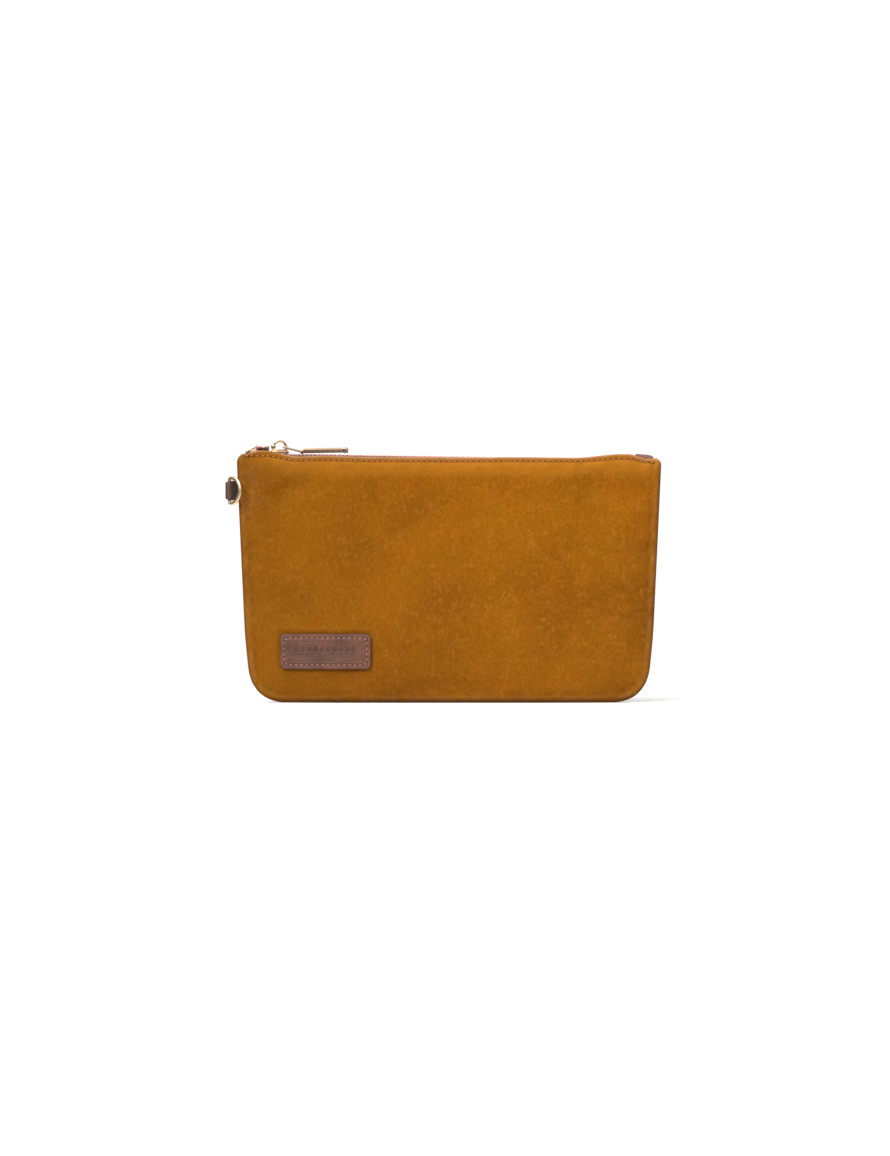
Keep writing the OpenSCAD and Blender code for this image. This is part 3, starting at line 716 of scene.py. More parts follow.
def spread_out(o, centre, amount):
    """Border points moved away from a centre in the front view, square to the border."""
    flat = o[:, [0, 2]]
    tangent = unit(np.gradient(flat, axis=0))
    normal = np.stack([tangent[:, 1], -tangent[:, 0]], 1)
    normal *= np.sign(((flat - centre) * normal).sum(1))[:, None]
    moved = o.copy()
    moved[:, [0, 2]] += normal * amount
    return moved


def in_plane(o, amount):
    """Border points moved towards the middle of the pouch in the front view."""
    return spread_out(o, np.array([0.0, HEIGHT * 0.55]), -amount)


def groove(amount, y_share):
    """Loop that turns the suede's edge inwards to the seam."""
    def loop(o, _):
        moved = in_plane(o, amount)
        moved[:, 1] = o[:, 1] * y_share
        return moved
    return loop


def edge_roll(angle, r, outer_side):
    """Loop over the top edge, rounded to radius r on its outer or inner side."""
    def loop(o, q):
        moved = (o if outer_side else q).copy()
        inwards = np.sign(q[:, 1] - o[:, 1]) * (1 if outer_side else -1)
        moved[:, 1] += inwards * r * (1 - np.cos(angle))
        moved[:, 2] += r * np.sin(angle)
        return moved
    return loop


ROLL_R = 0.5
EDGE_BEVELS = [edge_roll(a, ROLL_R, True) for a in (0.5, 1.0, np.pi / 2)]
EDGE_BEVELS += [edge_roll(a, ROLL_R, False) for a in (np.pi / 2, 1.0, 0.5)]
GROOVES = [groove(0.12, 0.62), groove(0.42, 0.3), groove(0.85, 0.12)]


def layer_piece(name, side, inset, thick, top, counts, material, replaced,
                side_loops=(), top_loops=()):
    """One sewn layer of the pouch, from its foot to a height. counts says how fine its grid is."""
    us = spaced(counts[0], 0.8)
    zs = rows_up(counts[1], top)
    outer = layer_grid(inset, us, zs, side)
    inner = layer_grid(inset + thick, us, zs, side)
    points, faces = close_slab(outer, inner, side_loops, top_loops)
    x, z = points[:, 0], points[:, 2] - edge_rise(points[:, 0]) * rise_share(points[:, 2])
    e = seam_distance(x, np.clip(z, 0, HEIGHT))
    patchy = mottle(x, z, 9, 5)
    # Painted highlight along the top rim, and lighter patches on the seam ridges and at the upper left.
    worn = ramp(1.7, 0.2, HEIGHT - z) * (0.6 + 0.4 * patchy) + 0.22 * bump(2.4, 2.2, e) * patchy
    worn = worn + 0.16 * bump(-112, 9, x) * bump(118, 24, z) * mottle(x * 1.6, z, 12, 8)
    # Painted light: lighter towards the top edge, fading out towards the far left.
    light = ramp(14.0, 2.4, HEIGHT - z) * (0.72 + 0.28 * patchy) * ramp(-122, -96, x)
    # Painted shade in the seams, in the valley beside them, and along the foot.
    shade = 0.75 * bump(0.0, 1.8, e) + 0.35 * bump(5.2, 2.4, e) * patchy + 0.9 * bump(0, 6, z)
    values = {"worn": np.clip(worn, 0, 1), "shade": np.clip(shade, 0, 1),
              "light": np.clip(light, 0, 1)}
    return piece(name, points, faces, material, "pouch", replaced, values=values)


def build_layers():
    """Suede, stiffener and lining of both halves."""
    for side, word in SIDES:
        layer_piece(word + "_suede", side, 0.0, SUEDE_T, HEIGHT - ROLL_R, (260, 170), SUEDE,
                    [word + "_panel"], GROOVES, EDGE_BEVELS)
    for side, word in SIDES:
        layer_piece(word + "_stiffener", side, SUEDE_T + 0.03, INTERLINING_T - 0.06,
                    HEIGHT - STIFFENER_DROP, (70, 44), FELT, [word + "_interlining"])
        lining = layer_piece(word + "_lining_cloth", side, SUEDE_T + INTERLINING_T + 0.03,
                             LINING_T - 0.08, HEIGHT - LINING_DROP, (120, 80), LINING,
                             [word + "_lining"])


def seam_core():
    """The sewn allowance that shows at the bottom of the groove between the two panels."""
    zs = CORNER_R * (1 - np.cos(np.linspace(0, np.pi / 2, 26)))
    zs = np.r_[zs, np.linspace(CORNER_R, HEIGHT - TOP_CORNER_R, 30)[1:]]
    right = np.stack([half_w(zs), np.zeros_like(zs), zs], 1)
    path = np.r_[right[::-1] * [-1, 1, 1], right]
    middle = in_plane(path, 1.5)
    build = Build()
    sweep(build, middle, rounded_section(0.6, 0.3, 0.2, 2), (0, 1, 0))
    # The whole allowance is painted in full shade.
    build.made("seam_allowance", SUEDE, "pouch", "suede", ["turned_seam"],
               lambda p: {"worn": np.zeros(len(p)), "shade": np.ones(len(p)), "light": np.zeros(len(p))})


# ------------------------------------------------------------------ stitching

STITCH_SIDES, STITCH_RINGS = 10, 11
TO_FRONT = np.array([0.0, -1.0, 0.0])


def add_stitch(build, values, a, b, out, r, rise, sink):
    """One twisted stitch from a to b. It bows out by rise and dips by sink into both holes."""
    a, b, out = (np.asarray(v, float) for v in (a, b, out))
    s = np.linspace(0, 1, STITCH_RINGS)
    arch = np.sin(np.pi * s) ** 0.6
    path = a + (b - a) * s[:, None] + out * ((rise + sink) * arch - sink)[:, None]
    side, over = frames_along(path, out)
    angle = np.arange(STITCH_SIDES) * 2 * np.pi / STITCH_SIDES
    taper = 0.55 + 0.45 * np.sin(np.pi * np.clip(s, 0.04, 0.96)) ** 0.5
    twist = 1 + 0.16 * np.cos(2 * angle[None] - 9.0 * s[:, None])
    radius = r * taper[:, None] * twist
    points = (path[:, None] + side[:, None] * (np.cos(angle) * radius)[..., None]
              + over[:, None] * (np.sin(angle) * radius)[..., None])
    build.add(points, tube_faces(STITCH_RINGS, STITCH_SIDES))
    # Painted shade: strongest where the thread dips into its holes.
    values.append(np.repeat(1 - arch, STITCH_SIDES))


def add_hole(build, at, along, out, r):
    """A shallow needle hole: a dished ring that sits just over the surface."""
    at, along, out = (np.asarray(v, float) for v in (at, along, out))
    across = unit(np.cross(out, along))
    along = np.cross(across, out)
    angle = np.arange(STITCH_SIDES) * 2 * np.pi / STITCH_SIDES
    rim = along * np.cos(angle)[:, None] * r * 1.15 + across * np.sin(angle)[:, None] * r
    rings = [at + rim * share + out * height
             for share, height in ((1.0, -0.10), (1.0, 0.02), (0.6, 0.03))]
    build.add(np.concatenate(rings), tube_faces(len(rings), STITCH_SIDES))


def stitched(name, hole_name, runs, r, rise, material, slot, replaced, hole):
    """A row of stitches and their holes. runs lists (a, b, out) for each stitch, and hole is a
    hole's radius over the thread's."""
    thread, thread_values, holes = Build(), [], Build()
    for a, b, out in runs:
        add_stitch(thread, thread_values, a, b, out, r, rise, r * 0.9)
        along = np.asarray(b, float) - np.asarray(a, float)
        for end in (a, b):
            add_hole(holes, end, along, out, r * hole)
    shade = np.clip(np.concatenate(thread_values), 0, 1)
    thread.made(name, material, "pouch", slot, replaced, {"shade": shade})
    holes.made(hole_name, HOLE, "pouch", slot)


def outward(x, z, side):
    """Unit normal of the suede at a front-view place."""
    step = 0.4
    across = surface(x + step, z, side) - surface(x - step, z, side)
    up = surface(x, z + step, side) - surface(x, z - step, side)
    normal = unit(np.cross(across, up))
    return normal if normal[1] * side > 0 else -normal


EDGE_PITCH, EDGE_STITCH = 3.1, 2.2
STITCH_CLIMB = 1.2
THREAD_R = 0.36


def top_stitching(side, word):
    """The row along one edge of the mouth, which climbs a little at its left end."""
    count = int(2 * (TOP_HALF - TOP_CORNER_R + 0.4) // EDGE_PITCH)
    rng = np.random.default_rng(3 if side < 0 else 4)
    runs = []
    for k in range(count):
        x = (k - (count - 1) / 2) * EDGE_PITCH
        z = HEIGHT - STITCH_DROP + STITCH_CLIMB * float(ramp(*LEFT_FALL_AT, x))
        tilt = rng.uniform(-0.12, 0.12)
        ends = [surface(x + s * EDGE_STITCH / 2, z + s * tilt, side) for s in (-1, 1)]
        runs.append((*ends, outward(x, z, side)))
    stitched("edge_stitches_" + word, "edge_holes_" + word, runs, THREAD_R, 0.2, SUEDE_THREAD,
             "suede_thread", ["top_stitching_" + word], 1.75)


# ------------------------------------------------------------------ patch

PATCH_T = 1.6
PATCH_R = 2.5
PATCH_STITCH_IN = 2.1
PATCH_EDGE = 0.35
PATCH_PITCH = 3.0
LOZENGE_CELL = 3.6
LOZENGE_HALF_A, LOZENGE_HALF_B, LOZENGE_AT = 1.45, 1.9, 1.1
RULES = (-2.1, -3.3)
MOTIF_IN = 7.0


def rounded_distance(a, b, half_a, half_b, r):
    """Distance inwards from the outline of a rounded rectangle."""
    qa, qb = np.abs(a) - (half_a - r), np.abs(b) - (half_b - r)
    outside = np.sqrt(np.clip(qa, 0, None) ** 2 + np.clip(qb, 0, None) ** 2)
    return r - outside - np.minimum(np.maximum(qa, qb), 0)


def patch_relief(a, b, half_a, half_b):
    """Pressed detail of the patch: stitch groove, a plain frame, a row of lozenges, two rules."""
    inward = rounded_distance(a, b, half_a, half_b, PATCH_R)
    out = -0.22 * bump(PATCH_STITCH_IN, 0.9, inward) + 0.05 * bump(PATCH_STITCH_IN + 1.5, 1.0, inward)
    out = out - 0.12 * bump(PATCH_STITCH_IN + 2.3, 0.35, inward)
    field_a = half_a - MOTIF_IN
    near = ramp(field_a + 0.4, field_a, np.abs(a))
    local = (a + 100 * LOZENGE_CELL) % LOZENGE_CELL - LOZENGE_CELL / 2
    lozenge = np.abs(local) / LOZENGE_HALF_A + np.abs(b - LOZENGE_AT) / LOZENGE_HALF_B
    out = out - 0.3 * near * ramp(1.0, 0.78, lozenge) + 0.26 * near * ramp(0.5, 0.28, lozenge)
    for line in RULES:
        out = out - 0.24 * near * bump(line, 0.42, b)
    return out + 0.05 * waves(a, b, 13, 91) * ramp(0, 3, inward) + 0.012 * waves(a, b, 2.2, 92)


def build_patch():
    """The pressed leather patch, lying on the suede's relief, and its stitching."""
    half_a, half_b = PATCH_HALF - PATCH_EDGE
    middle_x, middle_z = PATCH_MIDDLE
    bs = half_b * spaced(96, 0.35)
    share = np.linspace(-1, 1, 236)
    over = np.clip(np.abs(bs) - (half_b - PATCH_R), 0, PATCH_R)
    cut = PATCH_R - np.sqrt(PATCH_R ** 2 - over ** 2)
    a = (half_a - cut)[:, None] * share[None]
    b = np.repeat(bs[:, None], len(share), 1)
    front = surface(middle_x + a, middle_z + b)
    settled = front[..., 1] + relief(middle_x + a, middle_z + b, -1)
    top = front.copy()
    top[..., 1] = settled - PATCH_T - patch_relief(a, b, half_a, half_b)
    back = front.copy()
    back[..., 1] = settled + 0.25

    def side_loop(grow, down):
        def loop(o, _):
            moved = spread_out(o, PATCH_MIDDLE, grow)
            moved[:, 1] += down
            return moved
        return loop

    loops = [side_loop(0.16, 0.07), side_loop(0.29, 0.22), side_loop(PATCH_EDGE, 0.5),
             side_loop(PATCH_EDGE, 1.2), side_loop(PATCH_EDGE - 0.1, 1.75)]
    points, faces = close_slab(top, back, loops, loops)
    a, b = points[:, 0] - middle_x, points[:, 2] - middle_z
    inward = rounded_distance(a, b, half_a, half_b, PATCH_R)
    pressed = -patch_relief(a, b, half_a, half_b)
    # Painted shade along the patch's edge and in its pressed detail, and a lighter band just inside its
    # edge.
    values = {
        "shade": np.clip(0.75 * ramp(0.25, -0.2, inward) + np.clip(pressed, 0, 1) * 2.2, 0, 1),
        "worn": np.clip(0.55 * bump(0.75, 0.7, inward) * mottle(a, b, 6, 33), 0, 1),
    }
    piece("leather_patch", points, faces, BROWN, "pouch", ["name_patch"],
          values=values)

    path_a, path_b = half_a - PATCH_STITCH_IN, half_b - PATCH_STITCH_IN
    r = PATCH_R - 1.0
    line = rounded_section(path_a, path_b, r, 10)
    line = np.r_[line, line[:1]]
    lengths = np.r_[0, np.cumsum(np.linalg.norm(np.diff(line, axis=0), axis=1))]
    count = int(lengths[-1] // PATCH_PITCH)
    pitch = lengths[-1] / count
    runs = []
    for k in range(count):
        ends = []
        for s in (0.14, 0.86):
            where = (k + s) * pitch
            a, b = (np.interp(where, lengths, line[:, c]) for c in (0, 1))
            point = surface(middle_x + a, middle_z + b)
            point[1] += relief(middle_x + a, middle_z + b, -1)
            point[1] -= PATCH_T + patch_relief(a, b, half_a, half_b)
            ends.append(point)
        runs.append((*ends, TO_FRONT))
    stitched("patch_stitches", "patch_holes", runs, THREAD_R, 0.18, PATCH_THREAD, "patch_thread",
             ["name_patch_stitching"], 1.3)


# ------------------------------------------------------------------ zip

SLIDE_AXIS = np.array(JOINTS["slider_slide"]["axis"], float)
SLIDER_LOW, SLIDER_HIGH = box_mm("slider_body")
FALL = math.atan2(-SLIDE_AXIS[2], SLIDE_AXIS[0])
PLATE_LOW, PLATE_HIGH = 1.2, 2.7  # faces of the slider's plates, from the chain's middle
SLIDER_AT = (SLIDER_LOW + SLIDER_HIGH) / 2
SLIDER_AT[2] = (SLIDER_LOW[2] + PLATE_HIGH * math.cos(FALL)
                + (SLIDER_HIGH[0] - SLIDER_LOW[0]) / 2 * math.sin(FALL))
CHAIN_HALF = float(half_w(HEIGHT - TOP_CORNER_R)) - SUEDE_T
BEND_RIGHT = CHAIN_HALF * math.sin(math.radians(55))
TAPE_END = CHAIN_HALF * math.sin(math.radians(70))
CURL_LEFT, CURL_LEFT_AT = 4.1, (-100.9, -102.9)  # the chain climbs over this stretch
CURL_BACK, CURL_BACK_AT = 0.42, (-110.5, -116.5)  # and loses this share of it again
CURL_RIGHT, CURL_RIGHT_L = 1.1, 10.0
TAPE_T = 0.5
SKIRT_DROPS = (12.9, 9.0, 6.0)  # how far below the edge the sewn-in part of a tape lies
TAPE_TIP = 0.9
FLANGE_DROP = 0.3  # how far the flange lies under the teeth's middle
STEEP_AT = (-98, -103)  # here the tape turns to rise steeply at its left end
CLIP_MOUTH_AT = (-107.4, -108.7)  # and here it narrows to a strip inside the clip
TOOTH_PITCH = 2.3


def chain_z(x):
    """Height of the chain's middle."""
    x = np.asarray(x, float)
    z = SLIDER_AT[2] - (x - SLIDER_AT[0]) * math.tan(FALL)
    left = CURL_LEFT * ramp(*CURL_LEFT_AT, x) * (1 - CURL_BACK * ramp(*CURL_BACK_AT, x))
    return z + left + CURL_RIGHT * ramp(BEND_RIGHT, BEND_RIGHT + CURL_RIGHT_L, x)


def on_chain(points, x):
    """Points of a piece drawn round the origin, put on the chain at x."""
    fall = math.atan2(float(chain_z(x - 0.1) - chain_z(x + 0.1)), 0.2)
    return fallen(points, fall) + [x, 0.0, float(chain_z(x))]


TOOTH_OUTLINE = [(-2.4, -0.42), (-1.9, -0.55), (-1.1, -0.5), (-0.75, -0.36), (-0.35, -0.4),
                 (0.1, -0.53), (0.42, -0.42), (0.52, 0.0)]
TOOTH_LEVELS = mirrored([(0.7, 0.0), (1.0, 0.08), (1.12, 0.24)])
STOP_LEVELS = mirrored([(0.6, 0.0), (0.9, 0.1), (1.05, 0.35)])


def tooth_outline():
    """Tooth seen from above: a clamped root, a waist and a rounded head."""
    half = TOOTH_OUTLINE
    mirrored = [(y, -x) for y, x in half[-2::-1]]
    loop = smooth_loop([(x, y) for y, x in half + mirrored], 2)
    area = (loop[:, 0] * np.roll(loop[:, 1], -1) - np.roll(loop[:, 0], -1) * loop[:, 1]).sum()
    return loop if area > 0 else loop[::-1]


END_BLOCKS = [(-107.9, 2.2), (-103.2, 2.4)]  # clamped blocks on each side of the top stops


def build_teeth():
    """Both rows of teeth, with the clamped blocks at their left ends."""
    outline = tooth_outline()
    for side, word in SIDES:
        low, high = box_mm("zip_teeth_" + word)
        count = int(round((high[0] - low[0] - 1.1) / TOOTH_PITCH)) + 1
        build = Build()
        for k in range(count):
            x = low[0] + 0.55 + k * TOOTH_PITCH

            pillow(build, outline, TOOTH_LEVELS, lambda p, x=x: on_chain(p * [1, -side, 1], x))
        for x, wide in END_BLOCKS:
            block = [(wide * a, b) for a, b in ((-0.5, -2.5), (0.5, -2.5), (0.5, 0.1), (-0.5, 0.1))]
            pillow(build, smooth_loop(block, 2), [(z * 1.05, inset) for z, inset in TOOTH_LEVELS],
                   lambda p, x=x: on_chain(p * [1, -side, 1], x))
        build.made("teeth_" + word, TOOTH_GOLD, "pouch", "zip_metal", ["zip_teeth_" + word])


def tape_section(x, side, ripple):
    """Section of a tape at one place: skirt behind the suede, bend, flange and corded edge."""
    zb = HEIGHT - TOP_CORNER_R
    u = x / (half_w(zb) - SUEDE_T)
    outer, inner = [], []
    for z in [HEIGHT - drop for drop in SKIRT_DROPS] + [zb]:
        rise = edge_rise(x) * rise_share(z)
        t = thickness(u, z, SUEDE_T, side) - 0.06
        outer.append((t, z + rise))
        inner.append((t - TAPE_T + 0.1, z + rise))
    c = float(chain_z(x)) + ripple
    level = min(c + 0.25 - float(edge_rise(x)), HEIGHT)
    t = float(thickness(x / (half_w(level) - SUEDE_T), level, SUEDE_T, side)) - 0.15
    half = TAPE_T / 2 - 0.03
    c -= FLANGE_DROP * float(ramp(104, 99, abs(x)))
    droop = 1.15 * min(1.0, max(t - 2.0, 0.35) / 2.5)
    bends = np.array([(t, c + half - droop),
                      (0.75 * t + 0.6, c + half - 0.6 * droop),
                      (0.5 * t + 1.0, c + half - 0.25 * droop),
                      (0.3 * t + 1.2, c + half - 0.07 * droop)])
    edge = HEIGHT + float(edge_rise(x)) - 1.4
    steep = np.array([(t, edge), (0.6 * t + 0.4, edge + 0.05), (1.6, edge + 0.4),
                      (1.3, c + half - 0.3)])
    bends += (steep - bends) * float(ramp(*STEEP_AT, x))
    strip = np.array([(1.6 - 0.1 * k, c + half) for k in range(4)])
    inside = float(ramp(*CLIP_MOUTH_AT, x))
    bends += (strip - bends) * inside
    flange_top = [(y, z) for y, z in bends]
    flange_top += [(TAPE_TIP + 0.45, c + half + 0.08), (TAPE_TIP + 0.1, c + half)]
    flange_low = [(TAPE_TIP + 0.1, c - half), (TAPE_TIP + 0.45, c - half - 0.08)]
    flange_low += [(y - 0.3 * (1 - inside), z - 2 * half) for y, z in bends[::-1]]
    for line, lift in ((outer, 0.05), (inner, -0.05)):
        for k, (y, z) in enumerate(line):
            line[k] = (y + (1.62 + 0.01 * k - y) * inside, z + (c + lift - z) * inside)
    loop = outer + flange_top + flange_low + inner[::-1]
    return [(x, side * y, z) for y, z in loop]


def build_tapes():
    """Both tapes, as sections along the zip that are closer together at its curled left end."""
    xs = np.r_[np.linspace(-TAPE_END, -99, 44), np.linspace(-98, TAPE_END, 180)]
    for side, word in SIDES:
        ripple = 0.015 * waves(xs, xs * 0, 9, 70 + side)
        rings = [tape_section(float(x), side, float(w)) for x, w in zip(xs, ripple)]
        points = np.array(rings).reshape(-1, 3)
        tape = piece("tape_" + word, points, tube_faces(len(xs), len(rings[0])), TAPE, "pouch",
                     ["zip_tape_" + word])


def stop_outline(length, back, head):
    """A stop seen from above, from back behind the chain's middle to head before it."""
    return smooth_loop([(-length / 2, -back), (length / 2, -back), (length / 2, head),
                        (-length / 2, head)], 2)


def build_stops():
    low, high = box_mm("zip_top_stops")
    x = float(low[0] + high[0]) / 2
    build = Build()
    for side in (-1, 1):
        pillow(build, stop_outline(1.3, 2.5, -0.5), STOP_LEVELS,
               lambda p, side=side: on_chain(p * [1, -side, 1], x))
    build.made("top_stops", TOOTH_GOLD, "pouch", "zip_metal", ["zip_top_stops"])
    low, high = box_mm("zip_bottom_stop")
    x = float(low[0] + high[0]) / 2
    build = Build()
    pillow(build, stop_outline(2.1, 2.3, 2.3), STOP_LEVELS, lambda p: on_chain(p, x))
    build.made("bottom_stop", TOOTH_GOLD, "pouch", "zip_metal", ["zip_bottom_stop"])


WRAP_GAP = TAPE_T / 2 + 0.05
WRAP_MID_Y, WRAP_END_Y = 1.8, 1.2
WRAP_LEVELS = mirrored([(0.3, 0.0), (0.7, 0.0), (0.86, 0.03), (0.96, 0.14), (1.0, 0.32)])


def tape_wrap(name, node, above, below, mouth_y, hollow, roof, fall, steep, material, slot):
    """A folded piece over both tape ends that closes and narrows beyond them. hollow sinks its top
    between its ends, roof is how far its section narrows towards the top, fall is how far its top
    comes down over its length, and steep how far it comes down beyond the tapes. A piece with a
    steep end holds the narrowed tapes inside; the other is slotted for them."""
    low, high = box_mm(node)
    way = 1.0 if low[0] > 0 else -1.0
    closed, mouth = (high[0], low[0]) if way > 0 else (low[0], high[0])
    tape_x = way * TAPE_END
    over = np.r_[np.linspace(mouth, tape_x, 12), np.linspace(tape_x, closed, 8)[1:]]
    share = np.clip((over - tape_x) / (closed - tape_x), 0, 1)
    length = (over - mouth) / (closed - mouth)
    top = chain_z(over) + above * (1 - 0.3 * share ** 2 - fall * length ** 2)
    top = top - hollow * np.sin(np.pi * length) ** 2 - steep * share ** 2
    foot = min(float(chain_z(closed)) + 0.1, top[-1] - 0.6)
    low_z = (1 - share) * (chain_z(over) - below) + share * foot
    outline = np.r_[np.c_[over, top], np.c_[over[::-1], low_z[::-1]]]
    if not steep:
        slot_x = np.linspace(mouth, tape_x + way * 0.1, 8)
        outline = np.r_[outline, np.c_[slot_x, chain_z(slot_x) - WRAP_GAP],
                        np.c_[slot_x[::-1], chain_z(slot_x[::-1]) + WRAP_GAP]]
    outline = smooth_loop(outline, 2)
    nxt = np.roll(outline, -1, 0)
    if (outline[:, 0] * nxt[:, 1] - nxt[:, 0] * outline[:, 1]).sum() < 0:
        outline = outline[::-1]

    def place(points):
        half_y = np.interp(way * points[:, 0], [way * mouth, TAPE_END, way * closed],
                           [mouth_y, WRAP_MID_Y, WRAP_END_Y])
        up = (points[:, 1] - chain_z(points[:, 0])) / above
        half_y = half_y * (1 - roof * np.clip(up * 0.6 + 0.4, 0, 1) ** 1.6)
        return np.stack([points[:, 0], points[:, 2] * half_y, points[:, 1]], 1)

    build = Build()
    pillow(build, outline, WRAP_LEVELS, place)
    side = np.repeat([abs(level) for level, _ in WRAP_LEVELS], len(outline))
    # Painted shade in a band along the rounded edge, and a lighter band just inside it.
    build.made(name, material, "pouch", slot, [node],
               {"shade": 0.7 * bump(0.95, 0.04, side), "worn": 0.4 * bump(0.86, 0.08, side)})


def build_zip_ends():
    tape_wrap("start_clip", "zip_start_clip", 1.95, 2.9, 2.5, 0.12, 0.5, 0.1, 3.0, GOLD,
              "gold_hardware")
    tape_wrap("end_tab", "zip_end_tab", 3.0, 1.5, 2.35, 0.15, 0.2, 0.2, 0.0, TAB_BROWN,
              "brown_leather")


# ------------------------------------------------------------------ slider and pull

EYE_AT = mm(JOINTS["link_hinge"]["pos_m"])
PIVOT_AT = mm(JOINTS["bar_hinge"]["pos_m"])
CROWN_TOP = 3.6
HOOP_LOW, HOOP_HIGH = box_mm("slider_hoop")
HOOP_WIRE = (HOOP_HIGH[1] - HOOP_LOW[1]) / 2
HOOP_R = (HOOP_HIGH[0] - HOOP_LOW[0]) / 2 - HOOP_WIRE
HOOP_AT = np.array([(HOOP_LOW[0] + HOOP_HIGH[0]) / 2, 0.0, HOOP_HIGH[2] - HOOP_WIRE - HOOP_R])


def on_slider(points):
    """Points of the slider's own frame, where x runs along the chain, put in place."""
    return fallen(points, FALL) + SLIDER_AT


def in_slider(point):
    """A point in the slider's own frame."""
    return fallen(point - SLIDER_AT, -FALL)


def build_slider():
    """Slider casting: two plates, their side flanges, the wedge between them, crown and lug."""
    half_l = 5.2
    front = [(-half_l, -1.6), (-half_l + 0.5, -2.9), (-half_l + 1.6, -3.55), (1.0, -3.6),
             (3.2, -3.4), (half_l - 0.5, -2.7), (half_l, -1.6)]
    outline = smooth_loop(front + [(x, -y) for x, y in front[::-1]], 3)
    low, high = PLATE_LOW, PLATE_HIGH
    levels = [(low, 0.18), (low + 0.1, 0.04), (low + 0.3, 0.0), (high - 0.4, 0.0),
              (high - 0.2, 0.08), (high - 0.06, 0.28), (high, 0.6)]
    build = Build()
    pillow(build, outline, levels, on_slider)
    pillow(build, outline, [(-z, inset) for z, inset in levels[::-1]], on_slider)
    flange = rounded_section(2.75, 0.38, 0.3, 3)
    for side in (-1, 1):
        for start, end in ((0.47, 1.35), (-1.35, -0.47)):
            steps = [(start, 0.12), (start + 0.12, 0.0), (end - 0.12, 0.0), (end, 0.12)]
            pillow(build, flange, steps,
                   lambda p, side=side: on_slider(p + [0, side * 3.12, 0]))
    crown = rounded_section(4.45, 1.28, 1.2, 8)
    pillow(build, crown, [(high - 0.1, 0.0), (CROWN_TOP - 0.4, 0.0), (CROWN_TOP - 0.16, 0.08),
                          (CROWN_TOP - 0.04, 0.28), (CROWN_TOP, 0.6)], on_slider)
    centre = in_slider(HOOP_AT)
    turn = np.linspace(math.radians(150), math.radians(197), 15)
    lug = np.stack([centre[0] + HOOP_R * np.cos(turn), 0 * turn, centre[2] + HOOP_R * np.sin(turn)], 1)
    bulge = np.sqrt(np.clip(1 - np.linspace(-0.97, 0.9, 15) ** 2, 0, 1))
    sweep(build, on_slider(lug), ring_section(1.32, 20), (0, 1, 0), scale=np.c_[bulge, bulge])
    wedge = smooth_loop([(-4.9, -0.7), (-3.4, -0.7), (-2.75, 0.0), (-3.4, 0.7), (-4.9, 0.7)], 1)
    pillow(build, wedge, [(-1.3, 0.0), (1.3, 0.0)], on_slider)
    build.made("slider_casting", GOLD, "slider", "gold_hardware", ["slider_body"])


def build_hoop():
    """The round hoop that stands on the slider's upper plate."""
    wire, r = HOOP_WIRE, HOOP_R
    centre = in_slider(HOOP_AT)
    foot = math.asin((centre[2] - PLATE_HIGH - 0.05) / r)
    turn = np.linspace(-foot, math.pi + foot, 61)
    path = np.stack([centre[0] + r * np.cos(turn), np.zeros_like(turn),
                     centre[2] + r * np.sin(turn)], 1)
    build = Build()
    sweep(build, on_slider(path), ring_section(wire, 20), (0, 1, 0))
    build.made("hoop", GOLD, "slider", "gold_hardware", ["slider_hoop"])


LINK_WIRE = 0.6
LINK_HALF_Y = 2.05
LINK_CORNER = 0.75


def build_link():
    """A long loop of wire through the hoop and the pull's eye."""
    eye, pivot = in_slider(EYE_AT), in_slider(PIVOT_AT)
    along = pivot - eye
    length = np.linalg.norm(along)
    along /= length
    loop = rounded_section(length / 2, LINK_HALF_Y, LINK_CORNER, 8)
    dense = []
    for a, b in zip(loop, np.roll(loop, -1, 0)):
        steps = max(int(np.linalg.norm(b - a) / 0.6), 1)
        dense += [a + (b - a) * k / steps for k in range(steps)]
    path = np.array([eye + along * (a + length / 2) + np.array([0, b, 0]) for a, b in dense])
    lift = np.cross([0, 1, 0], along)
    build = Build()
    sweep(build, on_slider(path), ring_section(LINK_WIRE, 14), lift if lift[2] > 0 else -lift,
          closed=True)
    build.made("link", GOLD, "link", "gold_hardware", ["pull_link"])


BAR_TILT = math.radians(1.8)
BAR_RISE = 0.6
EYE_WALL = 1.15
EYE_BORE = 0.62
EYE_HALF_Y = 1.35


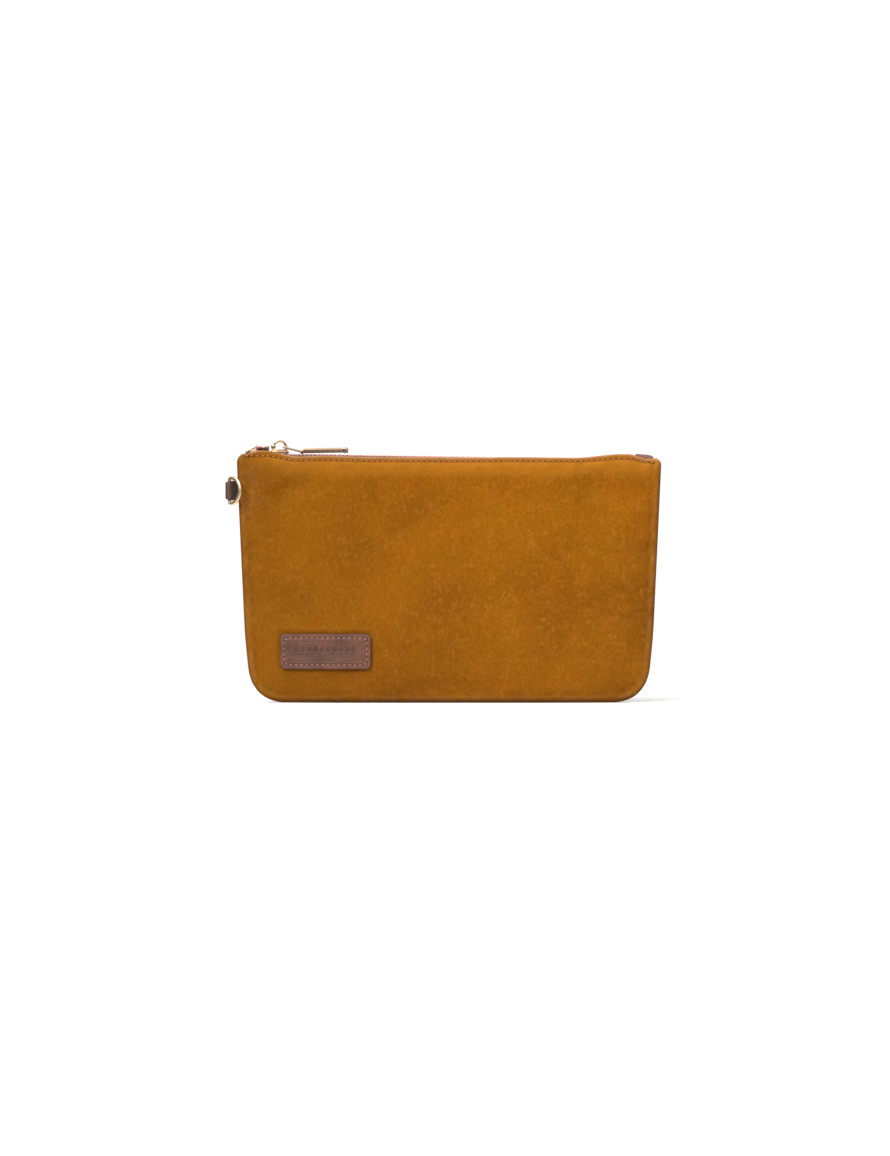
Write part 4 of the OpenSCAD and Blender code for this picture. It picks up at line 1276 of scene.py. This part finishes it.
def build_bar():
    """Cast pull: rolled eye, tapered neck, softly rounded bar and a fuller tip."""
    end = box_mm("pull_bar")[1][0] - PIVOT_AT[0] - 0.05
    pivot = in_slider(PIVOT_AT)

    def place(points):
        return on_slider(fallen(points, -BAR_TILT) + pivot)

    build = Build()
    half = [(EYE_BORE, -EYE_HALF_Y + 0.12), (EYE_BORE + 0.12, -EYE_HALF_Y),
            (EYE_WALL - 0.25, -EYE_HALF_Y), (EYE_WALL - 0.07, -EYE_HALF_Y + 0.07),
            (EYE_WALL, -EYE_HALF_Y + 0.25)]
    profile = half + [(r, -y) for r, y in half[::-1]]
    turns = 36
    rings = []
    for k in range(turns):
        a = 2 * math.pi * k / turns
        rings += [(r * math.cos(a), y, r * math.sin(a)) for r, y in profile]
    build.add(place(rings), tube_faces(turns, len(profile), True))
    stations = [
        (0.75, 0.1, 1.25, 1.05, 0.45), (0.95, 0.25, 1.3, 1.15, 0.5), (1.15, 0.4, 1.9, 1.25, 0.6),
        (1.4, 0.52, 2.3, 1.34, 0.7), (1.75, BAR_RISE, 2.47, 1.39, 0.8),
        (2.3, BAR_RISE, 2.5, 1.4, 0.85), (end - 3.6, BAR_RISE, 2.5, 1.4, 0.85),
        (end - 3.15, BAR_RISE, 2.42, 1.33, 0.8), (end - 2.95, BAR_RISE, 2.4, 1.3, 0.8),
        (end - 2.8, BAR_RISE, 2.62, 1.52, 0.85), (end - 2.5, BAR_RISE, 2.7, 1.6, 0.9),
        (end - 0.5, BAR_RISE, 2.7, 1.6, 0.9), (end - 0.2, BAR_RISE, 2.6, 1.5, 0.9),
        (end - 0.05, BAR_RISE, 2.35, 1.28, 0.85), (end, BAR_RISE, 1.9, 0.9, 0.6),
    ]
    points = []
    for x, z, half_y, half_z, r in stations:
        points += [(x, a, z + b) for a, b in rounded_section(half_y, half_z, r, 5)]
    build.add(place(points), tube_faces(len(stations), len(rounded_section(1, 1, 0.5, 5))))
    build.made("pull", GOLD, "bar", "gold_hardware", ["pull_bar"])


# ------------------------------------------------------------------ D-ring and loop

RING_AT = mm(JOINTS["ring_hinge"]["pos_m"])
RING_TURN = math.radians(-48)
RING_WIRE = 0.9
RING_BEND = 1.2
RING_SHOULDER = 2.0


def build_ring():
    """D-ring of wire: a straight bar in the leather loop, and a bow rolled wider in its plane."""
    low, high = box_mm("d_ring")
    r = (high[2] - low[2]) / 2 - RING_WIRE
    path = [(0.0, z) for z in np.linspace(-r + RING_BEND, r - RING_BEND, 12)]
    path += [(RING_BEND - RING_BEND * math.cos(a), r - RING_BEND + RING_BEND * math.sin(a))
             for a in np.linspace(0.2, math.pi / 2, 7)]
    path += [(RING_SHOULDER + r * math.sin(a), r * math.cos(a))
             for a in np.linspace(0, math.pi, 49)]
    path += [(RING_BEND - RING_BEND * math.sin(a), -r + RING_BEND - RING_BEND * math.cos(a))
             for a in np.linspace(0, math.pi / 2 - 0.2, 7)]
    c, s = math.cos(RING_TURN), math.sin(RING_TURN)
    flat = ramp(0.8, 4.0, np.array([a for a, _ in path]))
    path = np.array([(RING_AT[0] + a * c, RING_AT[1] + a * s, RING_AT[2] + z) for a, z in path])
    build = Build()
    sweep(build, path, ring_section(RING_WIRE, 24), (-s, c, 0), closed=True,
          scale=np.stack([1 + 0.4 * flat, 1 + 0.04 * flat], 1))
    # The D-ring uses the lighter copy of the gold, which is painted light.
    build.made("ring_wire", RING_GOLD_PAINTED_LIGHT, "ring", "gold_hardware", ["d_ring"])


def build_loop():
    """A strap folded round the ring's bar, its two ends skived and sewn into the side seam."""
    low, high = box_mm("d_ring_loop")
    half_z = (high[2] - low[2]) / 2
    r_mid = 1.0 + 0.66
    neck, end = 5.0, 10.8
    arc = np.linspace(math.radians(62), math.pi, 15)
    upper = [(end, 0.26, 0.22), (neck + 0.6, 0.27, 0.24), (neck - 0.2, 0.42, 0.36),
             (neck - 1.1, 0.72, 0.5), (neck - 2.2, 1.08, 0.56), (1.7, 1.34, 0.58)]
    upper += [(r_mid * math.cos(a), r_mid * math.sin(a), 0.66) for a in arc]
    lower = [(x, -y, t) for x, y, t in upper[-2::-1]]
    stations = np.array(upper + lower)
    path = np.c_[RING_AT[0] + stations[:, 0], RING_AT[1] + stations[:, 1],
                 np.full(len(stations), RING_AT[2])]
    section = rounded_section(1.0, 1.0, 0.28, 3)
    build = Build()
    fold = ramp(0.3, -1.5, stations[:, 0])
    sweep(build, path, section, (0, 0, 1),
          scale=np.stack([stations[:, 2], half_z - 0.7 * fold ** 2], 1))

    def painted_shade_and_wear(points):
        e = half_z - np.abs(points[:, 2] - RING_AT[2])
        inwards = points[:, 0] - RING_AT[0]
        # Painted shadow on the strap's neck behind the ring, painted shade along its edges, and lighter
        # near its edges towards the fold.
        return {"shade": np.clip(0.9 * bump(0, 0.7, e) + ramp(-0.1, 1.9, inwards), 0, 1),
                "worn": np.clip(0.5 * bump(1.2, 0.8, e) * ramp(1, -1, inwards), 0, 1)}

    build.made("strap_loop", LOOP_BROWN, "pouch", "brown_leather", ["d_ring_loop"], painted_shade_and_wear)


# ------------------------------------------------------------------ slip pocket

POCKET_PITCH, POCKET_STITCH = 4.0, 2.6
POCKET_SEAM_IN = 1.6
POCKET_HEM, POCKET_HEM_T, POCKET_T = 9, 0.62, 0.34


def build_pocket():
    """Cloth pocket with a hemmed mouth that sags a little, sewn to the back lining."""
    low, high = box_mm("slip_pocket")
    inset = SUEDE_T + INTERLINING_T + LINING_T
    zs = np.linspace(low[2], high[2], 50)
    xs = np.linspace(low[0] + 1, high[0] - 1, 70)
    grid = []
    for z in zs:
        sag = 0.25 * np.cos(np.pi * xs / (high[0] - low[0])) * ((z - low[2]) / (high[2] - low[2])) ** 4
        t = thickness(xs / half_w(z), np.full_like(xs, z), inset + 0.05, 1)
        grid.append(np.stack([xs, t - sag, np.full_like(xs, z)], -1))
    outer = np.array(grid)
    inner = outer.copy()
    thick = np.where(zs > high[2] - POCKET_HEM, POCKET_HEM_T, POCKET_T)
    inner[..., 1] -= thick[:, None]
    points, faces = close_slab(outer, inner)
    pocket = piece("pocket_cloth", points, faces, LINING, "pouch", ["slip_pocket"])
    runs = []
    rng = np.random.default_rng(8)

    def over(x, z):
        t = thickness(x / half_w(z), z, inset + 0.05, 1)
        return np.array([x, float(t) - 0.36, z])

    left, right, foot = xs[0] + POCKET_SEAM_IN, xs[-1] - POCKET_SEAM_IN, zs[0] + POCKET_SEAM_IN
    for k in range(int((right - left) // POCKET_PITCH)):
        x = left + POCKET_PITCH * (k + 0.2) + rng.uniform(-0.1, 0.1)
        runs.append((over(x, foot), over(x + POCKET_STITCH, foot), TO_FRONT))
    for k in range(int((zs[-1] - foot) // POCKET_PITCH)):
        for x in (left, right):
            z = foot + POCKET_PITCH * (k + 0.2)
            runs.append((over(x, z), over(x, z + POCKET_STITCH), TO_FRONT))
    stitched("pocket_stitches", "pocket_holes", runs, 0.26, 0.1, SUEDE_THREAD, "suede_thread",
             ["slip_pocket_stitching"], 1.15)


puff_up()
build_layers()
seam_core()
for side, word in SIDES:
    top_stitching(side, word)
build_patch()
build_teeth()
build_tapes()
build_stops()
build_zip_ends()
build_slider()
build_hoop()
build_link()
build_bar()
build_ring()
build_loop()
build_pocket()

# ------------------------------------------------------------------ floor, light and camera

FLOOR_R = 0.32


def build_floor():
    """A plain pale disc."""
    mesh = bpy.data.meshes.new("floor")
    bm = bmesh.new()
    bmesh.ops.create_circle(bm, cap_ends=True, radius=FLOOR_R, segments=96)
    bm.to_mesh(mesh)
    bm.free()
    s = Shader("floor", Roughness=0.9, Specular_IOR_Level=0.1)
    s.feed("Base Color", s.mix(s.fit(s.noise(0.7), 0.3, 0.7), (0.76, 0.76, 0.76, 1.0),
                               (0.78, 0.78, 0.78, 1.0)))
    mesh.materials.append(s.material)
    floor = bpy.data.objects.new("floor", mesh)
    bpy.context.scene.collection.objects.link(floor)


def sun(name, direction, strength, spread):
    """A soft sun that shines along direction."""
    light = bpy.data.lights.new(name, "SUN")
    light.energy = strength
    light.angle = math.radians(spread)
    obj = bpy.data.objects.new(name, light)
    obj.rotation_euler = Vector(direction).to_track_quat("-Z", "Y").to_euler()
    bpy.context.scene.collection.objects.link(obj)


# Brightness of the room that the metal mirrors, from straight down (0) to straight up (1)
ROOM_BANDS = [(0.0, 0.35), (0.22, 0.25), (0.30, 0.05), (0.44, 0.06), (0.50, 0.12), (0.57, 0.22),
              (0.67, 0.5), (0.78, 0.68), (1.0, 0.74)]
BACKDROP = 1.05


def build_light():
    """A studio that lights and is mirrored, with white seen behind the object, and four soft suns."""
    world = bpy.data.worlds.new("studio")
    bpy.context.scene.world = world
    world.use_nodes = True
    world.node_tree.nodes.clear()
    nodes = Nodes(world.node_tree)
    height = nodes.node("SeparateXYZ", 2, i0=nodes.node("TexCoord"))
    bands = nodes.node("ValToRGB", Fac=nodes.node("MapRange", Value=height, From_Min=-1.0))
    elements = bands.node.color_ramp.elements
    while len(elements) < len(ROOM_BANDS):
        elements.new(0.5)
    for element, (place, value) in zip(elements, ROOM_BANDS):
        element.position = place
        element.color = (value, value, value, 1.0)
    room = nodes.node("Background", Color=bands, Strength=1.0)
    seen = nodes.node("Background", Color=(1.0, 1.0, 1.0, 1.0), Strength=BACKDROP)
    either = nodes.node("MixShader", Fac=nodes.node("LightPath"), i1=room, i2=seen)
    nodes.node("OutputWorld", Surface=either)
    sun("key", (0.5, 0.66, -0.8), 3.3, 40)
    sun("fill", (-0.3, 0.6, -0.75), 1.3, 100)
    sun("top", (0.05, -0.3, -1.0), 0.6, 110)
    sun("behind", (-0.2, -0.9, -0.7), 0.6, 90)


LENS, SENSOR = 100.0, 36.0
FIELD = 0.655  # height of the picture at the pouch, in metres
AIM_X, AIM_Z = -0.0023, 0.0705


def build_camera():
    """Straight at the front, at half the pouch's height."""
    data = bpy.data.cameras.new("camera")
    data.lens = LENS
    data.sensor_width = SENSOR
    data.clip_end = 60
    camera = bpy.data.objects.new("camera", data)
    camera.location = (AIM_X, -FIELD * LENS / SENSOR, AIM_Z)
    camera.rotation_euler = (math.pi / 2, 0, 0)
    bpy.context.scene.collection.objects.link(camera)
    bpy.context.scene.camera = camera
    bpy.context.scene.view_settings.view_transform = "Standard"
    bpy.context.scene.view_settings.look = "None"


build_floor()
build_light()
build_camera()
